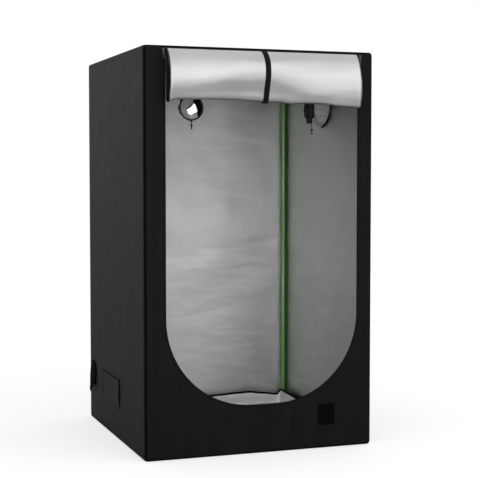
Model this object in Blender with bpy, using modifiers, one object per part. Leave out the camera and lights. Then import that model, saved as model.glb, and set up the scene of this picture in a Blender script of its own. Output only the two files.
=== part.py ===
# Indoor grow tent: a push-fit steel frame inside a sewn cover, with its door rolled up.
# Metres, +Z up. The origin is on the floor, under the middle of the tent.
# +X runs along the front, from left to right, and the door faces -Y.

import math

import bmesh
import bpy
from mathutils import Matrix, Vector

# Outside size of the cover
tent_width = 1.2
tent_depth = 1.2
tent_height = 2.0

# Cloth and fits
cloth_thickness = 0.0012
fit_gap = 0.0003
seam_pull_back = 0.0004
cut_overrun = 0.03
merge_distance = 0.00001
smooth_angle = math.radians(40)

# Rounded edges of the cover
cover_corner_radius = 0.025
cover_rim_radius = 0.015
cover_edge_segments = 4

# Steel frame
pole_radius = 0.011
pole_wall = 0.001
pole_inset = 0.020
pole_sides = 16
pole_joint_height = 1.0
swage_length = 0.045
swage_taper = 0.006
connector_size = 0.026
connector_rounding = 0.011
connector_segments = 2
spigot_clearance = 0.0005
spigot_length = 0.040
spigot_sides = 10

# Hanging bars
hanging_bar_radius = 0.008
hanging_bar_sides = 12
hanging_bar_spread = 0.5
clip_wall = 0.003
clip_length = 0.022
clip_mouth_angle = math.radians(90)
clip_segments = 12
clip_boss_length = 0.005
clip_spigot_length = 0.025

# Door cut-out in the front panel
door_left_border = 0.108
door_right_border = 0.087
door_bottom = 0.246
door_foot_width = 0.125
door_corner_segments = 10
door_hem = 0.025

# Zip round the cut-out
zip_edge = 0.005
zip_width = 0.010
zip_thickness = 0.0016
zip_top_hem = 0.016
slider_length = 0.025
slider_side = 0.0015
slider_front = 0.0045
bridge_width = 0.0025
bridge_thickness = 0.0015
bridge_inner_height = 0.0029
bridge_inner_length = 0.005
bridge_root = 0.001
pull_thickness = 0.0016
pull_width = 0.008
pull_length = 0.034
pull_hole_width = 0.0037
pull_hole_length = 0.009

# Rolled door
roll_end_inset = 0.008
roll_hem = 0.016
roll_depth = 0.096
roll_drop = 0.258
roll_turns = 3.6
roll_turn_share = 0.1
roll_points_per_turn = 20
roll_centre_shares = (0.5, 0.6)
# Depth and drop of the roll's outline, from the seam down the front and up the back
roll_outline_shares = (
    (0.0, 0.0),
    (0.27, 0.01),
    (0.54, 0.13),
    (0.77, 0.33),
    (0.95, 0.52),
    (1.0, 0.69),
    (0.94, 0.83),
    (0.74, 0.93),
    (0.48, 0.985),
    (0.24, 1.0),
    (0.07, 0.93),
    (0.02, 0.75),
    (0.0, 0.45),
    (0.0, 0.2),
)
# The same where the strap draws the roll in
roll_waist_shares = (
    (0.0, 0.0),
    (0.40, 0.02),
    (0.72, 0.13),
    (0.88, 0.27),
    (0.92, 0.41),
    (0.87, 0.55),
    (0.76, 0.69),
    (0.60, 0.81),
    (0.42, 0.91),
    (0.18, 0.985),
    (0.04, 0.93),
    (0.02, 0.75),
    (0.0, 0.45),
    (0.0, 0.2),
)
# Place along the roll, as a share of its half length, and how full the roll is there
roll_fullness_shares = ((-1.0, 0.93), (-0.6, 0.92), (-0.2, 0.9), (0.2, 0.88), (0.6, 0.86), (1.0, 0.85))

# Strap round the roll
strap_width = 0.028
strap_thickness = 0.0016

# Low vent in the left wall
vent_across = 0.09
vent_bottom = 0.165
vent_width = 0.38
vent_height = 0.155
vent_window_margin = 0.02
vent_net_overlap = 0.012
vent_net_columns = 12
vent_net_rows = 5
vent_strand = 0.003
vent_net_thickness = 0.001

# Ports. A sleeve droops down and sways sideways, to the right as seen from outside.
ring_width = 0.006
ring_depth = 0.007
ring_sides = 20
port_sides = 20
sleeve_overlap = 0.004
sleeve_collar = 0.004
sleeve_rows = 6
sleeve_sides = 24
sleeve_pleats = 8
sleeve_pleat_share = 0.22

back_port_across = 0.0105
back_port_below_roof = 0.229
back_port_radius = 0.067
back_sleeve_length = 0.09
back_sleeve_droop = 0.004
back_sleeve_sway = -0.034
back_sleeve_end_radius = 0.038

right_port_across = 0.045
right_port_below_roof = 0.225
right_port_radius = 0.122
right_sleeve_length = 0.10
right_sleeve_droop = 0.06
right_sleeve_sway = 0
right_sleeve_end_radius = 0.014

left_port_from_back = 0.105
left_port_height = 0.27
left_port_radius = 0.064
left_sleeve_length = 0.022
left_sleeve_droop = 0.095
left_sleeve_sway = 0
left_sleeve_end_radius = 0.012

# Inner sleeve of the right port, hanging like a sock
sock_from_port = 0.030
sock_rise = 0.117
sock_length = 0.224
sock_lean = 0.036
sock_rows = 6
sock_sides = 16
sock_pleats = 8
sock_pleat_share = 0.12
# Flat at its mouth, round from the first share of its length on, drawn in from the second
sock_mouth_half_width = 0.030
sock_mouth_half_depth = 0.008
sock_body_radius = 0.026
sock_end_radius = 0.008
sock_round_share = 0.5
sock_draw_in_share = 0.75

# Drawstrings and cord locks
string_radius = 0.0015
string_points = 8
knot_radius_share = 2.0
back_string_length = 0.052
right_string_length = 0.062
lock_radius = 0.0055
lock_length = 0.013
lock_groove = 0.0012
lock_band_share = 0.35
lock_sides = 12

# Floor tray
tray_bar_clearance = 0.002
tray_corner_radius = 0.030
tray_corner_segments = 3
tray_side_spans = 6
tray_rim_height = 0.081
tray_rim_sag = 0.022
# Sag of the rim between the corners of each side, anticlockwise from the front left corner
tray_sag_shares = {
    "front": (0.4, 0.8, 0.9, 0.7, 0.4),
    "right": (0.5, 0.7, 0.9, 1.05, 1.0),
    "back": (0.95, 0.4, -0.1, 0.25, 0.3),
    "left": (0.5, 0.9, 1.0, 0.8, 0.5),
}
binding_thickness = 0.001
binding_height = 0.010

# Bare woven patch on the front panel
patch_from_right = 0.252
patch_height = 0.173
patch_size = (0.096, 0.109)
patch_corner_radius = 0.004
patch_corner_segments = 3
patch_thickness = 0.0012

# Sizes that follow from the ones above
half_width = tent_width / 2
half_depth = tent_depth / 2
door_left = door_left_border - half_width
door_right = half_width - door_right_border
door_corner_radius = (door_right - door_left - door_foot_width) / 2
pole_inner_radius = pole_radius - pole_wall
swage_radius = pole_inner_radius - fit_gap
frame_inset = cloth_thickness + fit_gap + connector_size / 2
connector_x = half_width - pole_inset
connector_y = half_depth - pole_inset
connector_low = frame_inset
connector_high = tent_height - frame_inset
bar_end = connector_size / 2 + fit_gap
door_top = tent_height - door_hem
back_port_height = tent_height - back_port_below_roof
right_port_height = tent_height - right_port_below_roof
left_port_across = half_depth - left_port_from_back
sock_across = right_port_across + sock_from_port
sock_top = right_port_height + sock_rise
ring_off_wall = cloth_thickness + fit_gap
sock_off_wall = ring_off_wall + ring_depth + fit_gap + cloth_thickness / 2
sock_mouth_x = half_width - sock_off_wall - sock_mouth_half_depth
door_hinge = Vector((0, -half_depth - fit_gap - cloth_thickness / 2, tent_height - roll_hem))
wall_turns = {"front": 0, "right": 90, "back": 180, "left": -90}


# Scene and object helpers

def clear_scene():
    for obj in list(bpy.data.objects):
        bpy.data.objects.remove(obj)


def make_collection(name):
    collection = bpy.data.collections.new(name)
    bpy.context.scene.collection.children.link(collection)
    return collection


def make_material(name, colour, roughness, metallic):
    material = bpy.data.materials.new(name)
    material.use_nodes = True
    shader = material.node_tree.nodes["Principled BSDF"]
    shader.inputs["Base Color"].default_value = (*colour, 1)
    shader.inputs["Roughness"].default_value = roughness
    shader.inputs["Metallic"].default_value = metallic
    material.diffuse_color = (*colour, 1)
    return material


def make_object(name, mesh, material, location=(0, 0, 0), rotation=(0, 0, 0)):
    if not mesh.materials:
        mesh.materials.append(material)
    obj = bpy.data.objects.new(name, mesh)
    obj.location = location
    obj.rotation_euler = rotation
    tent.objects.link(obj)
    return obj


def make_carrier(name, location):
    # An empty on a joint's axis, which carries the pieces that move together
    empty = bpy.data.objects.new(name, None)
    empty.location = location
    tent.objects.link(empty)
    return empty


def carry(carrier, pieces):
    bpy.context.view_layer.update()
    for piece in pieces:
        piece.parent = carrier
        piece.matrix_parent_inverse = carrier.matrix_world.inverted()


def tool_object(mesh, location=(0, 0, 0), rotation=(0, 0, 0)):
    # A passing object that is used up when a mesh is made
    obj = bpy.data.objects.new("tool", mesh)
    obj.location = location
    obj.rotation_euler = rotation
    tools.objects.link(obj)
    return obj


def finished_mesh(obj):
    # The mesh of an object with its modifiers applied, its doubles merged and its round faces smooth
    bpy.context.view_layer.update()
    depsgraph = bpy.context.evaluated_depsgraph_get()
    mesh = bpy.data.meshes.new_from_object(obj.evaluated_get(depsgraph))
    bpy.data.objects.remove(obj)
    bm = bmesh.new()
    bm.from_mesh(mesh)
    bmesh.ops.remove_doubles(bm, verts=bm.verts, dist=merge_distance)
    bm.to_mesh(mesh)
    bm.free()
    mesh.shade_smooth()
    mesh.set_sharp_from_angle(angle=smooth_angle)
    return mesh


def combined_mesh(base, operation, others):
    for other in others:
        cut = base.modifiers.new("combine", "BOOLEAN")
        cut.operation = operation
        cut.object = other
    mesh = finished_mesh(base)
    for other in others:
        bpy.data.objects.remove(other)
    return mesh


def mesh_from(bm):
    mesh = bpy.data.meshes.new("shape")
    bm.to_mesh(mesh)
    bm.free()
    return mesh


# Placing on a wall: +Z of a piece points out of the tent, and its +Y points up

def wall_rotation(side):
    return (math.pi / 2, 0, math.radians(wall_turns[side]))


def wall_spot(side, across, height, proud=0):
    turn = math.radians(wall_turns[side])
    outward = Vector((math.sin(turn), -math.cos(turn), 0))
    if side in ("front", "back"):
        along, reach = Vector((1, 0, 0)), half_depth
    else:
        along, reach = Vector((0, 1, 0)), half_width
    return outward * (reach + proud) + along * across + Vector((0, 0, height))


# Shapes

def box_mesh(size_x, size_y, size_z):
    bm = bmesh.new()
    bmesh.ops.create_cube(bm, size=1, matrix=Matrix.Diagonal((size_x, size_y, size_z, 1)))
    return mesh_from(bm)


def rod_mesh(radius, length, sides):
    # A solid rod that stands on the origin along +Z
    bm = bmesh.new()
    bmesh.ops.create_cone(
        bm, cap_ends=True, segments=sides, radius1=radius, radius2=radius, depth=length,
        matrix=Matrix.Translation((0, 0, length / 2)),
    )
    return mesh_from(bm)


def turned_mesh(profile, sides, closed=True):
    # Radius and height points run down the outer side and, on a hollow piece, back up the inner side
    count = len(profile)
    edges = [(i, (i + 1) % count) for i in range(count if closed else count - 1)]
    mesh = bpy.data.meshes.new("profile")
    mesh.from_pydata([(radius, 0, height) for radius, height in profile], edges, [])
    obj = tool_object(mesh)
    screw = obj.modifiers.new("turn", "SCREW")
    screw.steps = sides
    screw.render_steps = sides
    screw.use_merge_vertices = True
    screw.merge_threshold = merge_distance
    return finished_mesh(obj)


def outline_mesh(outlines, thickness):
    # A flat solid in the XY plane, centred on it. Outlines after the first are holes.
    curve = bpy.data.curves.new("outline", "CURVE")
    curve.dimensions = "2D"
    curve.fill_mode = "BOTH"
    curve.extrude = thickness / 2
    for outline in outlines:
        spline = curve.splines.new("POLY")
        spline.points.add(len(outline) - 1)
        for point, (x, y) in zip(spline.points, outline):
            point.co = (x, y, 0, 1)
        spline.use_cyclic_u = True
    return finished_mesh(tool_object(curve))


def rectangle(centre_x, centre_y, width, height):
    left, right = centre_x - width / 2, centre_x + width / 2
    low, high = centre_y - height / 2, centre_y + height / 2
    return [(left, low), (right, low), (right, high), (left, high)]


def rounded_rectangle(width, height, radius, segments):
    points = []
    for quarter, (sign_x, sign_y) in enumerate(((-1, -1), (1, -1), (1, 1), (-1, 1))):
        for step in range(segments + 1):
            angle = math.pi + (quarter + step / segments) * math.pi / 2
            points.append((
                sign_x * (width / 2 - radius) + radius * math.cos(angle),
                sign_y * (height / 2 - radius) + radius * math.sin(angle),
            ))
    return points


def thick_mesh(rows, thickness, closed_rows, offset):
    # A sheet lofted through rows of points, given its thickness
    bm = bmesh.new()
    grid = [[bm.verts.new(point) for point in row] for row in rows]
    for low, high in zip(grid, grid[1:]):
        count = len(low)
        for i in range(count if closed_rows else count - 1):
            j = (i + 1) % count
            bm.faces.new((low[i], low[j], high[j], high[i]))
    obj = tool_object(mesh_from(bm))
    solidify = obj.modifiers.new("thickness", "SOLIDIFY")
    solidify.thickness = thickness
    solidify.offset = offset
    solidify.use_even_offset = True
    return finished_mesh(obj)


def smooth_loop(points, place):
    # A point on a smooth closed curve through the given points, place counted in turns
    count = len(points)
    spot = (place % 1) * count
    first = math.floor(spot)
    t = spot - first
    before, start, end, after = (points[(first + k) % count] for k in (-1, 0, 1, 2))
    return tuple(
        0.5 * (2 * b + (c - a) * t + (2 * a - 5 * b + 4 * c - d) * t ** 2 + (3 * b - a - 3 * c + d) * t ** 3)
        for a, b, c, d in zip(before, start, end, after)
    )


# Steel frame

def pole_mesh(length, radius, wall, sides):
    inner = radius - wall
    profile = [(radius, length), (radius, 0), (inner, 0), (inner, length)]
    return turned_mesh(profile, sides)


def lower_pole_mesh(length):
    # The top end is drawn down, so that the upper pole pushes over it
    tip = length + swage_length
    neck = length + swage_taper
    swage_inner = swage_radius - pole_wall
    profile = [
        (swage_radius, tip), (swage_radius, neck), (pole_radius, length), (pole_radius, 0),
        (pole_inner_radius, 0), (pole_inner_radius, length), (swage_inner, neck), (swage_inner, tip),
    ]
    return turned_mesh(profile, pole_sides)


def corner_connector_mesh():
    # A rounded block with a spigot along +X, +Y and +Z
    block = tool_object(box_mesh(connector_size, connector_size, connector_size))
    rounding = block.modifiers.new("rounding", "BEVEL")
    rounding.width = connector_rounding
    rounding.segments = connector_segments
    reach = connector_size / 2 + spigot_length
    radius = pole_inner_radius - spigot_clearance
    turns = ((0, 0, 0), (0, math.pi / 2, 0), (-math.pi / 2, 0, 0))
    spigots = [tool_object(rod_mesh(radius, reach, spigot_sides), rotation=turn) for turn in turns]
    return combined_mesh(block, "UNION", spigots)


def build_frame():
    connector = corner_connector_mesh()
    lower_length = pole_joint_height - connector_low - bar_end
    upper_length = connector_high - bar_end - pole_joint_height - swage_taper
    lower = lower_pole_mesh(lower_length)
    upper = pole_mesh(upper_length, pole_radius, pole_wall, pole_sides)
    corners = (("front_left", -1, -1), ("front_right", 1, -1), ("back_right", 1, 1), ("back_left", -1, 1))
    for quarter, (corner, sign_x, sign_y) in enumerate(corners):
        x, y = sign_x * connector_x, sign_y * connector_y
        turn = quarter * math.pi / 2
        make_object(
            f"corner_connector_{corner}_bottom", connector, black_plastic,
            (x, y, connector_low), (0, 0, turn),
        )
        make_object(
            f"corner_connector_{corner}_top", connector, black_plastic,
            (x, y, connector_high), (math.pi, 0, turn + math.pi / 2),
        )
        make_object(f"lower_pole_{corner}", lower, green_steel, (x, y, connector_low + bar_end))
        make_object(f"upper_pole_{corner}", upper, green_steel, (x, y, pole_joint_height + swage_taper))
    long_x = pole_mesh(2 * (connector_x - bar_end), pole_radius, pole_wall, pole_sides)
    long_y = pole_mesh(2 * (connector_y - bar_end), pole_radius, pole_wall, pole_sides)
    for level, height in (("bottom", connector_low), ("top", connector_high)):
        for side, sign in (("front", -1), ("back", 1)):
            start = (-connector_x + bar_end, sign * connector_y, height)
            make_object(f"{level}_bar_{side}", long_x, green_steel, start, (0, math.pi / 2, 0))
        for side, sign in (("left", -1), ("right", 1)):
            start = (sign * connector_x, -connector_y + bar_end, height)
            make_object(f"{level}_bar_{side}", long_y, green_steel, start, (-math.pi / 2, 0, 0))


def hanging_clip_mesh():
    # A clip that snaps on from below, open at its top, with a boss and a spigot towards +X
    inner = pole_radius + fit_gap
    outer = inner + clip_wall
    start = math.pi / 2 + clip_mouth_angle / 2
    sweep = 2 * math.pi - clip_mouth_angle
    angles = [start + sweep * step / clip_segments for step in range(clip_segments + 1)]
    outline = [(outer * math.cos(a), outer * math.sin(a)) for a in angles]
    outline += [(inner * math.cos(a), inner * math.sin(a)) for a in reversed(angles)]
    clip = tool_object(outline_mesh([outline], clip_length))
    root = inner + clip_wall / 2
    boss_end = outer + clip_boss_length
    tip = boss_end + clip_spigot_length
    spigot_radius = hanging_bar_radius - pole_wall - spigot_clearance
    profile = [
        (0, tip), (spigot_radius, tip), (spigot_radius, boss_end),
        (hanging_bar_radius, boss_end), (hanging_bar_radius, root), (0, root),
    ]
    spigot = tool_object(turned_mesh(profile, hanging_bar_sides, closed=False), rotation=(0, math.pi / 2, 0))
    return combined_mesh(clip, "UNION", [spigot])


def build_hanging_bars():
    clip = hanging_clip_mesh()
    bar_reach = connector_x - pole_radius - fit_gap - clip_wall - clip_boss_length - fit_gap
    bar = pole_mesh(2 * bar_reach, hanging_bar_radius, pole_wall, hanging_bar_sides)
    for place, sign in (("front", -1), ("back", 1)):
        y = sign * hanging_bar_spread / 2
        pieces = [
            make_object(
                f"hanging_bar_{place}", bar, green_steel,
                (-bar_reach, y, connector_high), (0, math.pi / 2, 0),
            ),
            make_object(
                f"hanging_clip_{place}_left", clip, black_plastic,
                (-connector_x, y, connector_high), (math.pi / 2, 0, 0),
            ),
            make_object(
                f"hanging_clip_{place}_right", clip, black_plastic,
                (connector_x, y, connector_high), (math.pi / 2, 0, math.pi),
            ),
        ]
        carry(make_carrier(f"hanging_bar_{place}_carrier", (0, y, connector_high)), pieces)


# Cover

def cover_surface():
    # Outer skin of the whole cover: upright edges rounded first, then the top and bottom rims
    bm = bmesh.new()
    size = Matrix.Diagonal((tent_width, tent_depth, tent_height, 1))
    bmesh.ops.create_cube(bm, size=1, matrix=Matrix.Translation((0, 0, tent_height / 2)) @ size)
    upright = [e for e in bm.edges if e.calc_length() > tent_height - merge_distance]
    bmesh.ops.bevel(
        bm, geom=upright, offset=cover_corner_radius, segments=cover_edge_segments, profile=0.5,
        affect="EDGES",
    )
    rims = [e for e in bm.edges if abs(e.verts[0].co.z - e.verts[1].co.z) < merge_distance]
    bmesh.ops.bevel(
        bm, geom=rims, offset=cover_rim_radius, segments=cover_edge_segments, profile=0.5,
        affect="EDGES",
    )
    return bm


def panel_of(normal):
    # The panel that a piece of the skin belongs to: seams run along the middle of each rounded edge
    if abs(normal.z) > math.sin(math.pi / 4):
        return "roof" if normal.z > 0 else "floor"
    if abs(normal.x) > abs(normal.y):
        return "right" if normal.x > 0 else "left"
    return "back" if normal.y > 0 else "front"


def panel_mesh(panel, cutters=()):
    bm = cover_surface()
    bm.normal_update()
    others = [face for face in bm.faces if panel_of(face.normal) != panel]
    bmesh.ops.delete(bm, geom=others, context="FACES")
    edge = bmesh.ops.inset_region(bm, faces=bm.faces, thickness=seam_pull_back, use_boundary=True)
    bmesh.ops.delete(bm, geom=edge["faces"], context="FACES")
    obj = tool_object(mesh_from(bm))
    solidify = obj.modifiers.new("thickness", "SOLIDIFY")
    solidify.thickness = cloth_thickness
    solidify.offset = -1
    solidify.use_even_offset = True
    return combined_mesh(obj, "DIFFERENCE", cutters)


def door_edge(grow):
    # The door cut-out's edge, grown outwards: down the left side, round the foot and up the right side
    radius = door_corner_radius + grow
    low = door_bottom + door_corner_radius
    points = [(door_left - grow, door_top)]
    for centre, start in ((door_left + door_corner_radius, math.pi),
                          (door_right - door_corner_radius, 1.5 * math.pi)):
        for step in range(door_corner_segments + 1):
            angle = start + step / door_corner_segments * math.pi / 2
            points.append((centre + radius * math.cos(angle), low + radius * math.sin(angle)))
    points.append((door_right + grow, door_top))
    return points


def port_cutter(side, across, height, radius):
    rod = rod_mesh(radius, 2 * cut_overrun, port_sides)
    return tool_object(rod, wall_spot(side, across, height, -cut_overrun), wall_rotation(side))


def build_cover():
    door = outline_mesh([door_edge(0)], 2 * cut_overrun)
    door_cutter = tool_object(door, wall_spot("front", 0, 0), wall_rotation("front"))
    window = box_mesh(
        vent_width - 2 * vent_window_margin, vent_height - 2 * vent_window_margin, 2 * cut_overrun
    )
    vent_middle = vent_bottom + vent_height / 2
    window_cutter = tool_object(window, wall_spot("left", vent_across, vent_middle), wall_rotation("left"))
    left_port = port_cutter("left", left_port_across, left_port_height, left_port_radius)
    right_port = port_cutter("right", right_port_across, right_port_height, right_port_radius)
    back_port = port_cutter("back", back_port_across, back_port_height, back_port_radius)
    make_object("roof_panel", panel_mesh("roof"), black_cloth)
    make_object("floor_panel", panel_mesh("floor"), black_cloth)
    make_object("front_panel", panel_mesh("front", [door_cutter]), black_cloth)
    make_object("left_wall", panel_mesh("left", [window_cutter, left_port]), black_cloth)
    make_object("right_wall", panel_mesh("right", [right_port]), black_cloth)
    make_object("back_wall", panel_mesh("back", [back_port]), black_cloth)


# Door

def roll_fullness(share):
    # How full the roll is at a place along it: straight between the shares
    for (start, low), (end, high) in zip(roll_fullness_shares, roll_fullness_shares[1:]):
        if share <= end:
            return low + (high - low) * (share - start) / (end - start)
    return roll_fullness_shares[-1][1]


def roll_point(turn, fullness, shares):
    # Depth in front of the seam and drop below it, turn counted from the seam
    shrink = 1 - roll_turn_share * turn
    outline = smooth_loop(shares, turn)
    depth, drop = (c + (o - c) * shrink for c, o in zip(roll_centre_shares, outline))
    return Vector((depth * roll_depth * fullness, drop * roll_drop))


def roll_stations():
    # Places along the roll, each with its fullness and outline: the strap sits on a straight waist
    half_length = (door_right - door_left) / 2 - roll_end_inset
    centre = (door_left + door_right) / 2
    stations = [
        (centre + share * half_length, roll_fullness(share), roll_outline_shares)
        for share, _ in roll_fullness_shares
    ]
    stations += [(-strap_width, 1, roll_waist_shares), (strap_width, 1, roll_waist_shares)]
    return sorted(stations)


def grown_line(spots, distance):
    # The inner points of a line of spots, moved outwards from the faces on both sides of each
    grown = []
    for before, spot, after in zip(spots, spots[1:], spots[2:]):
        arriving, leaving = (spot - before).normalized(), (after - spot).normalized()
        along = (arriving + leaving).normalized()
        outward = Vector((along.y, -along.x))
        grown.append(spot + outward * distance / along.dot(arriving))
    return grown


def build_door():
    count = round(roll_turns * roll_points_per_turn)
    turns = [i / roll_points_per_turn for i in range(count + 1)]
    rows = []
    for x, fullness, shares in roll_stations():
        spots = [roll_point(turn, fullness, shares) for turn in turns]
        rows.append([(x, -spot.x, -spot.y) for spot in spots])
    sheet = thick_mesh(rows, cloth_thickness, closed_rows=False, offset=0)
    door = make_object("door_roll", sheet, silver_cloth, door_hinge)

    line = [roll_point(turn, 1, roll_waist_shares) for turn in turns[:roll_points_per_turn]]
    inner_side = grown_line(line, cloth_thickness / 2 + fit_gap)
    outer_side = grown_line(line, cloth_thickness / 2 + fit_gap + strap_thickness)
    outline = [(-spot.x, -spot.y) for spot in outer_side + inner_side[::-1]]
    strap_rotation = (math.pi / 2, 0, math.pi / 2)
    strap = make_object("roll_strap", outline_mesh([outline], strap_width), black_webbing, door_hinge,
                        strap_rotation)
    carry(make_carrier("door_hinge_carrier", door_hinge), [door, strap])
    spots = [Vector(spot) for spot in rows[0]]
    lengths = [(after - before).length for before, after in zip(spots, spots[1:])]
    print(f"rolled door cloth is {sum(lengths):.3f} m long at its left end")
    print(f"least gap between its turns is {least_roll_gap(turns):.4f} m")


def least_roll_gap(turns):
    # Least gap between one turn of the roll and the next, measured on points at every station
    apart = roll_points_per_turn // 2
    distances = []
    for _, fullness, shares in roll_stations():
        spots = [roll_point(turn, fullness, shares) for turn in turns]
        distances += [
            (first - second).length
            for i, first in enumerate(spots) for second in spots[i + apart:]
        ]
    return min(distances) - cloth_thickness


# Zip

def build_zip():
    outer = door_edge(zip_edge + zip_width)
    inner = door_edge(zip_edge)
    top = tent_height - zip_top_hem
    outer[0], outer[-1] = (outer[0][0], top), (outer[-1][0], top)
    inner[0], inner[-1] = (inner[0][0], top), (inner[-1][0], top)
    track = outline_mesh([outer + inner[::-1]], zip_thickness)
    proud = fit_gap + zip_thickness / 2
    make_object("zip_track", track, black_plastic, wall_spot("front", 0, 0, proud), wall_rotation("front"))

    channel_half = zip_width / 2 + fit_gap
    side_half = channel_half + slider_side
    floor = zip_thickness + 2 * fit_gap
    front = floor + slider_front
    slider_outline = [
        (-side_half, fit_gap), (-channel_half, fit_gap), (-channel_half, floor), (channel_half, floor),
        (channel_half, fit_gap), (side_half, fit_gap), (side_half, front), (-side_half, front),
    ]
    arch_half = bridge_inner_length / 2
    arch_out = arch_half + bridge_thickness
    arch_top = front + bridge_inner_height
    bridge_outline = [
        (front - bridge_root, -arch_out), (arch_top + bridge_thickness, -arch_out),
        (arch_top + bridge_thickness, arch_out), (front - bridge_root, arch_out),
        (front - bridge_root, arch_half), (arch_top, arch_half),
        (arch_top, -arch_half), (front - bridge_root, -arch_half),
    ]
    pivot_out = front + bridge_inner_height / 2
    pivot_up = -arch_half + bridge_inner_height / 2
    eye = pull_thickness / 2
    hole_middle = -eye - pull_hole_length / 2
    pull_outline = rectangle(0, eye - pull_length / 2, pull_width, pull_length)
    hole_outline = rectangle(0, hole_middle, pull_hole_width, pull_hole_length)
    slider_middle = top - slider_length / 2
    for side, across in (("left", door_left - zip_edge - zip_width / 2),
                         ("right", door_right + zip_edge + zip_width / 2)):
        spot = wall_spot("front", across, slider_middle)
        body = tool_object(outline_mesh([[(x, -y) for x, y in slider_outline]], slider_length))
        bridge = tool_object(
            outline_mesh([[(-y, z) for y, z in bridge_outline]], bridge_width),
            rotation=(math.pi / 2, 0, math.pi / 2),
        )
        mesh = combined_mesh(body, "UNION", [bridge])
        make_object(f"zip_slider_{side}", mesh, dark_metal, spot)
        pull = outline_mesh([pull_outline, hole_outline], pull_thickness)
        pivot = wall_spot("front", across, slider_middle + pivot_up, pivot_out)
        make_object(f"zip_pull_{side}", pull, dark_metal, pivot, wall_rotation("front"))


# Low vent

def build_vent():
    middle = vent_bottom + vent_height / 2
    window_width = vent_width - 2 * vent_window_margin
    window_height = vent_height - 2 * vent_window_margin
    pitch_x = window_width / vent_net_columns
    pitch_y = window_height / vent_net_rows
    outlines = [rectangle(0, 0, window_width + 2 * vent_net_overlap, window_height + 2 * vent_net_overlap)]
    for column in range(vent_net_columns):
        for row in range(vent_net_rows):
            outlines.append(rectangle(
                (column + 0.5) * pitch_x - window_width / 2,
                (row + 0.5) * pitch_y - window_height / 2,
                pitch_x - vent_strand, pitch_y - vent_strand,
            ))
    inside = -(cloth_thickness + fit_gap + vent_net_thickness / 2)
    make_object(
        "vent_net", outline_mesh(outlines, vent_net_thickness), black_cloth,
        wall_spot("left", vent_across, middle, inside), wall_rotation("left"),
    )
    flap = outline_mesh([rectangle(0, vent_height / 2, vent_width, vent_height)], cloth_thickness)
    proud = fit_gap + cloth_thickness / 2
    make_object(
        "vent_flap", flap, black_cloth,
        wall_spot("left", vent_across, vent_bottom, proud), wall_rotation("left"),
    )


# Ports

def gathered_sleeve_mesh(mouth_radius, end_radius, length, droop, sway):
    # A cloth tube that leaves the wall along +Z in a short collar, is drawn together in pleats,
    # droops towards -Y and sways towards +X
    angles = [2 * math.pi * side / sleeve_sides for side in range(sleeve_sides)]
    rows = [[(mouth_radius * math.cos(a), mouth_radius * math.sin(a), 0) for a in angles]]
    for row in range(sleeve_rows):
        t = row / (sleeve_rows - 1)
        drawn = t * t * (3 - 2 * t)
        radius = mouth_radius + (end_radius - mouth_radius) * drawn
        out = sleeve_collar + (length - sleeve_collar) * t
        ring = []
        for angle in angles:
            pleated = radius * (1 + sleeve_pleat_share * t * math.cos(sleeve_pleats * angle))
            x = pleated * math.cos(angle) + sway * drawn
            y = pleated * math.sin(angle) - droop * drawn
            ring.append((x, y, out))
        rows.append(ring)
    return thick_mesh(rows, cloth_thickness, closed_rows=True, offset=-1)


def build_port(name, side, across, height, radius, length, droop, sway, end_radius):
    # The ring binds the hole on the inside, and the sleeve stands on the outside
    profile = [
        (radius + ring_width, ring_depth), (radius + ring_width, 0), (radius, 0), (radius, ring_depth)
    ]
    inside = -(ring_off_wall + ring_depth)
    make_object(
        f"{name}_port_ring", turned_mesh(profile, ring_sides), black_webbing,
        wall_spot(side, across, height, inside), wall_rotation(side),
    )
    mesh = gathered_sleeve_mesh(radius + sleeve_overlap, end_radius, length, droop, sway)
    make_object(
        f"{name}_port_sleeve", mesh, black_cloth,
        wall_spot(side, across, height, fit_gap), wall_rotation(side),
    )


def sock_mesh():
    # A gathered tube that hangs from the top of its ring and leans away from the wall
    rows = []
    for row in range(sock_rows):
        t = row / (sock_rows - 1)
        rounding = min(1, t / sock_round_share)
        closing = max(0, (t - sock_draw_in_share) / (1 - sock_draw_in_share))
        half_y = sock_mouth_half_width + (sock_body_radius - sock_mouth_half_width) * rounding
        half_x = sock_mouth_half_depth + (sock_body_radius - sock_mouth_half_depth) * rounding
        half_y += (sock_end_radius - sock_body_radius) * closing
        half_x += (sock_end_radius - sock_body_radius) * closing
        ring = []
        for side in range(sock_sides):
            angle = 2 * math.pi * side / sock_sides
            pleat = 1 + sock_pleat_share * t * math.cos(sock_pleats * angle)
            ring.append((
                sock_mouth_x - sock_lean * rounding + half_x * pleat * math.cos(angle),
                sock_across + half_y * pleat * math.sin(angle),
                sock_top - sock_length * t,
            ))
        rows.append(ring)
    return thick_mesh(rows, cloth_thickness, closed_rows=True, offset=0)


def string_mesh(length):
    # A cord that hangs straight down from the origin and ends in a knot
    curve = bpy.data.curves.new("string", "CURVE")
    curve.dimensions = "3D"
    curve.bevel_depth = string_radius
    curve.bevel_resolution = 2
    curve.use_fill_caps = True
    spline = curve.splines.new("POLY")
    spline.points.add(string_points - 1)
    for i, point in enumerate(spline.points):
        point.co = (0, 0, -length * i / (string_points - 1), 1)
        point.radius = knot_radius_share if i == string_points - 2 else 1
    return finished_mesh(tool_object(curve))


def lock_mesh():
    # A barrel with a bore for the cord and a shallow groove round its waist
    bore = string_radius + fit_gap
    half = lock_length / 2
    band = half * lock_band_share
    profile = [
        (lock_radius, half), (lock_radius, band), (lock_radius - lock_groove, 0),
        (lock_radius, -band), (lock_radius, -half), (bore, -half), (bore, half),
    ]
    return turned_mesh(profile, lock_sides)


def build_string(name, top, length):
    make_object(f"{name}_drawstring", string_mesh(length), black_webbing, top)
    step = length / (string_points - 1)
    rest = -length + 2 * step + lock_length / 2 + fit_gap
    make_object(f"{name}_cord_lock", lock_mesh(), black_plastic, top + Vector((0, 0, rest)))


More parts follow.
